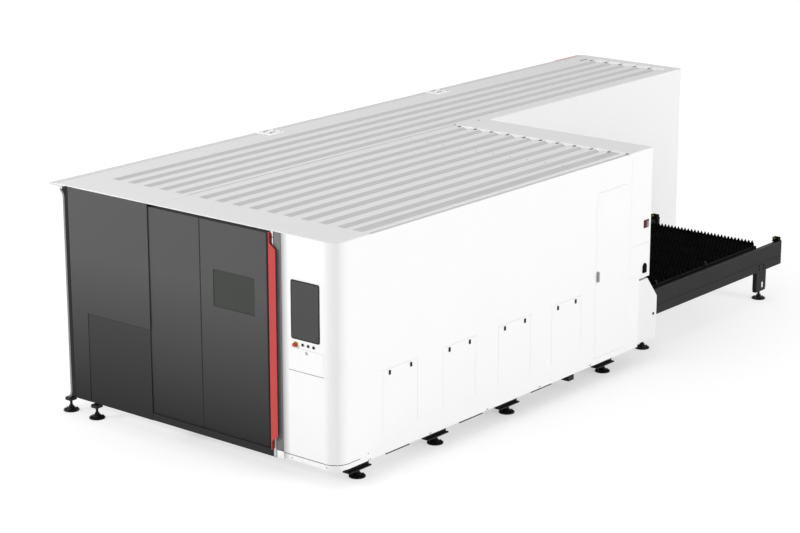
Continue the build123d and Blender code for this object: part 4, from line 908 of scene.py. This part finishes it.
def foot_at(name, x, y, top):
    pad = disc(name, x, y, PAD_HEIGHT / 2, PAD_RADIUS, PAD_HEIGHT, "z", edge=3, sides=48)
    select_faces(pad, lambda face: face.normal.z > 0.99)
    bpy.ops.mesh.inset(thickness=PAD_RIM)
    for rise, share in PAD_STEPS:
        pull(0, 0, rise)
        bpy.ops.transform.resize(value=(share, share, 1))
    leave_edit()
    soften(pad, 0)
    parts = [pad]
    for turn in range(RIBS):
        angle = turn * math.pi / (RIBS / 2)
        rib_box = (x + RIB_IN, x + RIB_OUT, y - RIB_HALF, y + RIB_HALF, PAD_HEIGHT, RIB_TOP)
        rib = slab("rib", *rib_box, edge=1.5)
        bpy.ops.object.mode_set(mode="EDIT")
        bpy.ops.mesh.select_all(action="SELECT")
        bpy.ops.transform.rotate(value=-angle, orient_axis="Z", center_override=at(x, y, PAD_HEIGHT))
        leave_edit()
        parts.append(rib)
    parts.append(disc("nut", x, y, NUT_Z, radius=25, length=18, axis="z", edge=2, sides=6))
    stem_middle, stem_length = (STEM_LOW + top) / 2, top - STEM_LOW
    parts.append(disc("stem", x, y, stem_middle, radius=13, length=stem_length, axis="z", sides=24))
    return join(name, parts)


feet = []
for height, seats in SEATS.items():
    base_x, base_y = seats[0]
    model = foot_at("foot_" + str(height), base_x, base_y, height)
    feet.append(model)
    for x, y in seats[1:]:
        feet.append(copy_at(model, "foot", x - base_x, y - base_y))
print("feet", len(feet))
all_feet = join("round_feet", feet)
dress(all_feet, "foot_black")
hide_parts("levelling_feet")
print("faces of the feet", len(all_feet.data.polygons))

# %% [markdown]
# The stop button is a red mushroom on a yellow ring. Its cap is a disc with a generously rounded rim, set
# over a narrower neck, and it rides on its own body so that it can be pressed. Each push button beside it
# has a square bezel of four thin bars.

# %% Stop button, its ring and the bezels
STOP_X, STOP_Z = 3036, 1250
BUTTON_XS, BUTTON_Z = (3118, 3181, 3244), 1259
BEZEL_OUT, BEZEL_IN, BEZEL_FACE = 13.5, 11.6, (-3, 0)
cap = [disc("stop_cap", STOP_X, -22, STOP_Z, radius=19, length=18, axis="y", edge=6, sides=48)]
cap.append(disc("stop_neck", STOP_X, -6, STOP_Z, radius=12, length=20, axis="y", edge=0.5))
stop = join("stop_mushroom", cap)
dress(stop, "red_plastic", "estop_button")
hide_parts("estop_button")
ring = disc("stop_ring", STOP_X, -2, STOP_Z, radius=26, length=4, axis="y", edge=1.5, sides=48)
press_in(ring, lambda face: abs(face.normal.y) > 0.99 and face.area > 0.001, rim=14, depth=1)
dress(ring, "ring_yellow")
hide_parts("estop_ring")
bezels = []
for x in BUTTON_XS:
    for low, high in ((-BEZEL_OUT, -BEZEL_IN), (BEZEL_IN, BEZEL_OUT)):
        upright = (x + low, x + high, *BEZEL_FACE, BUTTON_Z - BEZEL_OUT, BUTTON_Z + BEZEL_OUT)
        bezels.append(slab("bezel", *upright, edge=0.5))
    for low, high in ((-BEZEL_OUT, -BEZEL_IN), (BEZEL_IN, BEZEL_OUT)):
        level_bar = (x - BEZEL_OUT, x + BEZEL_OUT, *BEZEL_FACE, BUTTON_Z + low, BUTTON_Z + high)
        bezels.append(slab("bezel", *level_bar, edge=0.5))
dress(join("button_bezels", bezels), "white_paint")
print("stop button and bezels ready")

# %% [markdown]
# Each side door closes with two quarter turn latches. The solid is the latch body; a raised grip with a
# rounded end and a key disc finish it, and they turn with it. The latch of the small rear cover and the
# lever of the tall door get their raised parts in the same way.

# %% Latch grips
ACCESS_DOORS = ((606, 1090), (1454, 1942), (2290, 2793), (3140, 3623))
LATCH_INSET, GRIP_HALF, KEY_Z = 94, 5, 904
GRIP_OUT, GRIP_ZS, KEY_X = (3512, 3516), (899, 931), 3513.5
COVER_GRIP_BOX = (3518, 3524, 4712, 4746, 950, 1012)
COVER_ARCH = (3515, 4729, 1020)
LEVER_CAP_BOX = (3524, 3530, 3885, 3905, 1034, 1126)
for number, (y0, y1) in enumerate(ACCESS_DOORS, start=1):
    for side, y in (("front", y0 + LATCH_INSET), ("rear", y1 - LATCH_INSET)):
        name = "access_latch_" + str(number) + "_" + side
        grip_box = (*GRIP_OUT, y - GRIP_HALF, y + GRIP_HALF, *GRIP_ZS)
        parts = [slab("grip", *grip_box, edge=1.8, segments=3)]
        parts.append(disc("key_disc", KEY_X, y, KEY_Z, radius=7, length=3, axis="x", edge=0.8, sides=28))
        dress(join(name + "_grip", parts), "black_plastic", name)
parts = [slab("cover_grip", *COVER_GRIP_BOX, edge=2.5, segments=3)]
parts.append(disc("cover_arch", *COVER_ARCH, radius=24, length=10, axis="x", edge=2))
dress(join("rear_cover_latch_grip", parts), "slat_steel", "rear_cover_latch")
lever = slab("tall_door_lever_cap", *LEVER_CAP_BOX, edge=3, segments=3)
dress(lever, "grey_plastic", "tall_door_handle")
print("latch grips", 2 * len(ACCESS_DOORS))

# %% [markdown]
# The keyboard tray folds out of the column. Its front has a small pull and a dark hinge line, and its inner
# side carries the keys, which show when the tray is open. One key is tapered and an array copies it.

# %% Keyboard tray
PULL_X, PULL_Z = 3153, 1190
HINGE_BOX = (2949, 3353, -1.5, 1, 1006, 1010)
KEY_BOX = (2979, 2997, 17, 22, 1054, 1072)
KEY_TOP = 0.78
KEY_ROWS = (("across", 16, (0.0215, 0, 0)), ("up", 5, (0, 0, 0.0225)))
base = disc("tray_pull_base", PULL_X, -3, PULL_Z, radius=13, length=6, axis="y", edge=1.5)
dress(base, "grey_plastic", "keyboard_tray")
knob = disc("tray_pull", PULL_X, -11, PULL_Z, radius=10, length=12, axis="y", edge=3)
dress(knob, "white_paint", "keyboard_tray")
hinge = slab("tray_hinge", *HINGE_BOX, edge=0.8)
dress(hinge, "bezel_plastic", "keyboard_tray")
key = slab("key", *KEY_BOX, edge=0)
taper(key, lambda face: face.normal.y > 0.9, (KEY_TOP, 1, KEY_TOP))
for label, count, offset in KEY_ROWS:
    repeat(key, label, count, offset)
dress(soften(key, 0.8), "bezel_plastic", "keyboard_tray")
print("keys", len(key.data.polygons))

# %% [markdown]
# The exchange table has bolted legs with slots and shoes, and a lighter strip along its top edges is a
# painted highlight.
# A photocell under a hood at each rear corner watches the pallet, and two pairs of stops stand on it.

# %% Table pieces
BEAM_FRONT, BEAM_REAR = 4830, 7884
EDGE_HIGHLIGHT_BOXES = (
    (3276, 3286, BEAM_FRONT, BEAM_REAR, 583, 587),
    (1581, 1591, BEAM_FRONT, BEAM_REAR, 583, 587),
    (1632, 3235, 7874, 7885, 438, 442),
)
LEG_BOLT_XS, LEG_BOLT_AWAY, LEG_BOLT_ZS = (3289, 1578), (-45, 45), (345, 385)
END_BOLT_XS, END_BOLT_Y, END_BOLT_Z = (3215, 3180, 1652, 1687), 7885, 360
TABLE_BOLT = {"radius": 11, "length": 8, "edge": 1.2, "sides": 6}
LEG_SLOT_X, LEG_SLOT_Y, LEG_SLOT_Z = (3284, 3286.5), (10, 38), (128, 190)
SHOE_HALF_X, SHOE_HALF_Y, SHOE_Z = 24, 98, (88, 112)
HOOD_XS, HOOD_HALF, HOOD_REACH = (1637, 3252), 36, (7790, 7854, 602, 637)
HOOD_FOOT_HALF, HOOD_FOOT_REACH = 33, (7782, 7872, 584, 602)
LENS_XS, LENS_Y, LENS_Z = (1624, 3242), 7789, 624
TABLE_CORNER_BOX = (1632, 1668, 7838, 7872, 440, 584)
PALLET_STOP_LEFTS, PALLET_STOP_YS = (3205, 1636), (5407, 6371)
PALLET_STOP_WIDTH, PALLET_STOP_HALF, PALLET_STOP_ZS = 26, 8, (606, 652)
# Painted highlight: lighter strips along the top edges of the beams.
edge_highlight = [slab("edge_highlight", *box, edge=1.5) for box in EDGE_HIGHLIGHT_BOXES]
dress(join("table_edge_highlight", edge_highlight), "hatch_paint")
bolts = []
for y in LEG_YS:
    for x in LEG_BOLT_XS:
        for away in LEG_BOLT_AWAY:
            for z in LEG_BOLT_ZS:
                bolts.append(disc("leg_bolt", x, y + away, z, axis="x", **TABLE_BOLT))
for x in END_BOLT_XS:
    bolts.append(disc("end_bolt", x, END_BOLT_Y, END_BOLT_Z, axis="y", **TABLE_BOLT))
dress(join("table_bolts", bolts), "table_paint")
slots = []
for y in LEG_YS:
    slots.append(slab("leg_slot", *LEG_SLOT_X, y + LEG_SLOT_Y[0], y + LEG_SLOT_Y[1], *LEG_SLOT_Z, edge=1))
dress(join("leg_slots", slots), "white_paint")
shoes = []
for x in LEG_XS:
    for y in LEG_YS:
        shoe_box = (x - SHOE_HALF_X, x + SHOE_HALF_X, y - SHOE_HALF_Y, y + SHOE_HALF_Y, *SHOE_Z)
        shoes.append(slab("leg_shoe", *shoe_box, edge=3))
dress(join("leg_shoes", shoes), "table_paint")
hoods = []
for x in HOOD_XS:
    hoods.append(slab("hood", x - HOOD_HALF, x + HOOD_HALF, *HOOD_REACH, edge=6, segments=3))
    foot_box = (x - HOOD_FOOT_HALF, x + HOOD_FOOT_HALF, *HOOD_FOOT_REACH)
    hoods.append(slab("hood_foot", *foot_box, edge=4, segments=3))
dress(join("photocell_hoods", hoods), "slat_steel")
table_corner = slab("table_corner", *TABLE_CORNER_BOX, edge=3, segments=3)
dress(table_corner, "table_paint")
lenses = [disc("lens", x, LENS_Y, LENS_Z, radius=9, length=6, axis="y", edge=1.5) for x in LENS_XS]
dress(join("photocell_lenses", lenses), "ring_yellow")
stops = []
for x in PALLET_STOP_LEFTS:
    for y in PALLET_STOP_YS:
        stop_span = (x, x + PALLET_STOP_WIDTH, y - PALLET_STOP_HALF, y + PALLET_STOP_HALF)
        stops.append(slab("stop", *stop_span, *PALLET_STOP_ZS, edge=2))
dress(join("pallet_stops", stops), "table_paint", "pallet_upper")
print("table pieces ready")

# %% [markdown]
# A rubber grommet closes the cable hole in the low rear cover.

# %% Cover grommet
GROMMET_PLACE = (3508.5, 4922, 466)
grommet = disc("grommet", *GROMMET_PLACE, radius=15, length=5, axis="x", edge=1.5)
press_in(grommet, lambda face: face.normal.x > 0.99, rim=4, depth=3)
dress(grommet, "slat_steel")
print("grommet ready")

# %% [markdown]
# Inside, the cutting head ends in a round copper nozzle under its tapered body.

# %% Nozzle tip
NOZZLE_PLACE, NOZZLE_TAPER = (1900, 389.7, 888), 0.5
nozzle = disc("nozzle_tip", *NOZZLE_PLACE, radius=13, length=14, axis="z", edge=2)
taper(nozzle, lambda face: face.normal.z < -0.99, (NOZZLE_TAPER, NOZZLE_TAPER, 1))
dress(nozzle, "nozzle_copper", "cutting_head")
print("nozzle tip ready")

# %% [markdown]
# The studio is a pale floor under a white sky. The sky is white to the camera and to reflections, and
# dimmer as a light, so that the lamps shape the machine.

# %% Studio sky
SKY_AS_LIGHT, SKY_SEEN = 0.36, 1.0
world = bpy.data.worlds.new("studio")
bpy.context.scene.world = world
world.use_nodes = True
sky = world.node_tree
sky.nodes.clear()
rays = add_node(sky, "LightPath")
seen_sky = add_node(sky, "Math", operation="MAXIMUM")
through = add_node(sky, "Math", operation="MAXIMUM")
strength = add_node(sky, "MapRange", {"To Min": SKY_AS_LIGHT, "To Max": SKY_SEEN})
white = add_node(sky, "Background", {"Color": (1, 1, 1, 1)})
world_out = add_node(sky, "OutputWorld")
sky.links.new(rays.outputs["Is Camera Ray"], seen_sky.inputs[0])
sky.links.new(rays.outputs["Is Glossy Ray"], seen_sky.inputs[1])
sky.links.new(seen_sky.outputs[0], through.inputs[0])
sky.links.new(rays.outputs["Is Transmission Ray"], through.inputs[1])
sky.links.new(through.outputs[0], strength.inputs["Value"])
sky.links.new(strength.outputs["Result"], white.inputs["Strength"])
sky.links.new(white.outputs[0], world_out.inputs["Surface"])
print("sky ready")

# %% [markdown]
# The floor fades into the white far from the machine. An occlusion node darkens it close to the machine,
# which gives the soft shadow where the two almost meet.

# %% Studio floor
FLOOR_SIZE, FLOOR_GREY, GLOW = 120, 0.95, 1.08
CONTACT_REACH, CONTACT_SAMPLES, CONTACT_DARKEST = 0.26, 8, 0.7
POOL = (1 / 4.2, 1 / 6.6, 1)
POOL_FADE = {"From Min": 0.45, "From Max": 1.0, "To Min": 0.56}
clear_selection()
bpy.ops.mesh.primitive_plane_add(size=FLOOR_SIZE, location=(0, 0, 0))
floor = bpy.context.object
floor.name = "studio_floor"
floor_paint = bpy.data.materials.new("studio_floor")
floor_paint.use_nodes = True
tree = floor_paint.node_tree
tree.nodes.clear()
link = tree.links.new
matt = add_node(tree, "BsdfDiffuse", {"Color": (FLOOR_GREY, FLOOR_GREY, FLOOR_GREY, 1)})
glow = add_node(tree, "Emission", {"Strength": GLOW})
contact = add_node(tree, "AmbientOcclusion", {"Distance": CONTACT_REACH}, samples=CONTACT_SAMPLES)
weaker = add_node(tree, "MapRange", {"To Min": CONTACT_DARKEST})
link(contact.outputs["AO"], weaker.inputs["Value"])
link(weaker.outputs["Result"], glow.inputs["Color"])
place = add_node(tree, "TexCoord")
squeeze = add_node(tree, "Mapping", {"Scale": POOL})
ball = add_node(tree, "VectorMath", operation="LENGTH")
fade = add_node(tree, "MapRange", POOL_FADE)
seen = add_node(tree, "LightPath")
looked_at = add_node(tree, "Math", operation="MAXIMUM")
both = add_node(tree, "Math", operation="MULTIPLY")
mix = add_node(tree, "MixShader")
surface = add_node(tree, "OutputMaterial")
link(place.outputs["Object"], squeeze.inputs["Vector"])
link(squeeze.outputs[0], ball.inputs[0])
link(ball.outputs["Value"], fade.inputs["Value"])
link(seen.outputs["Is Camera Ray"], looked_at.inputs[0])
link(seen.outputs["Is Glossy Ray"], looked_at.inputs[1])
link(fade.outputs["Result"], both.inputs[0])
link(looked_at.outputs[0], both.inputs[1])
link(both.outputs[0], mix.inputs["Fac"])
link(matt.outputs[0], mix.inputs[1])
link(glow.outputs[0], mix.inputs[2])
link(mix.outputs[0], surface.inputs["Surface"])
floor.data.materials.append(floor_paint)
print("floor ready")

# %% [markdown]
# Four soft lamps stand far away, so that the light is even along the long machine: a key in front, a little
# to the left, which lets the door handle throw its shadow on the column, two broad fills in front and on
# the right, and a large one overhead for the roof and the floor. Each has its place and target in metres,
# its width and its power.

# %% Lamps
FRONT_TARGET = (0.5, -3.0, 1.0)
LAMPS = {
    "front_key": ((-12.0, -19.0, 10.0), FRONT_TARGET, 3.0, 3050),
    "front_fill": ((9.0, -22.0, 8.0), FRONT_TARGET, 8.0, 150),
    "right_fill": ((40.0, 10.0, 15.8), (0.0, 1.0, 1.0), 17.0, 9900),
    "overhead": ((0.0, 0.0, 21.0), (0.0, 0.0, 1.0), 10.0, 540),
}


def softbox(name, place, target, size, power):
    data = bpy.data.lights.new(name, "AREA")
    data.shape = "DISK"
    data.size = size
    data.energy = power
    lamp = bpy.data.objects.new(name, data)
    bpy.context.scene.collection.objects.link(lamp)
    lamp.location = place
    direction = Vector(target) - Vector(place)
    lamp.rotation_euler = direction.to_track_quat("-Z", "Y").to_euler()


for name, values in LAMPS.items():
    softbox(name, *values)
print("lamps", len(LAMPS))
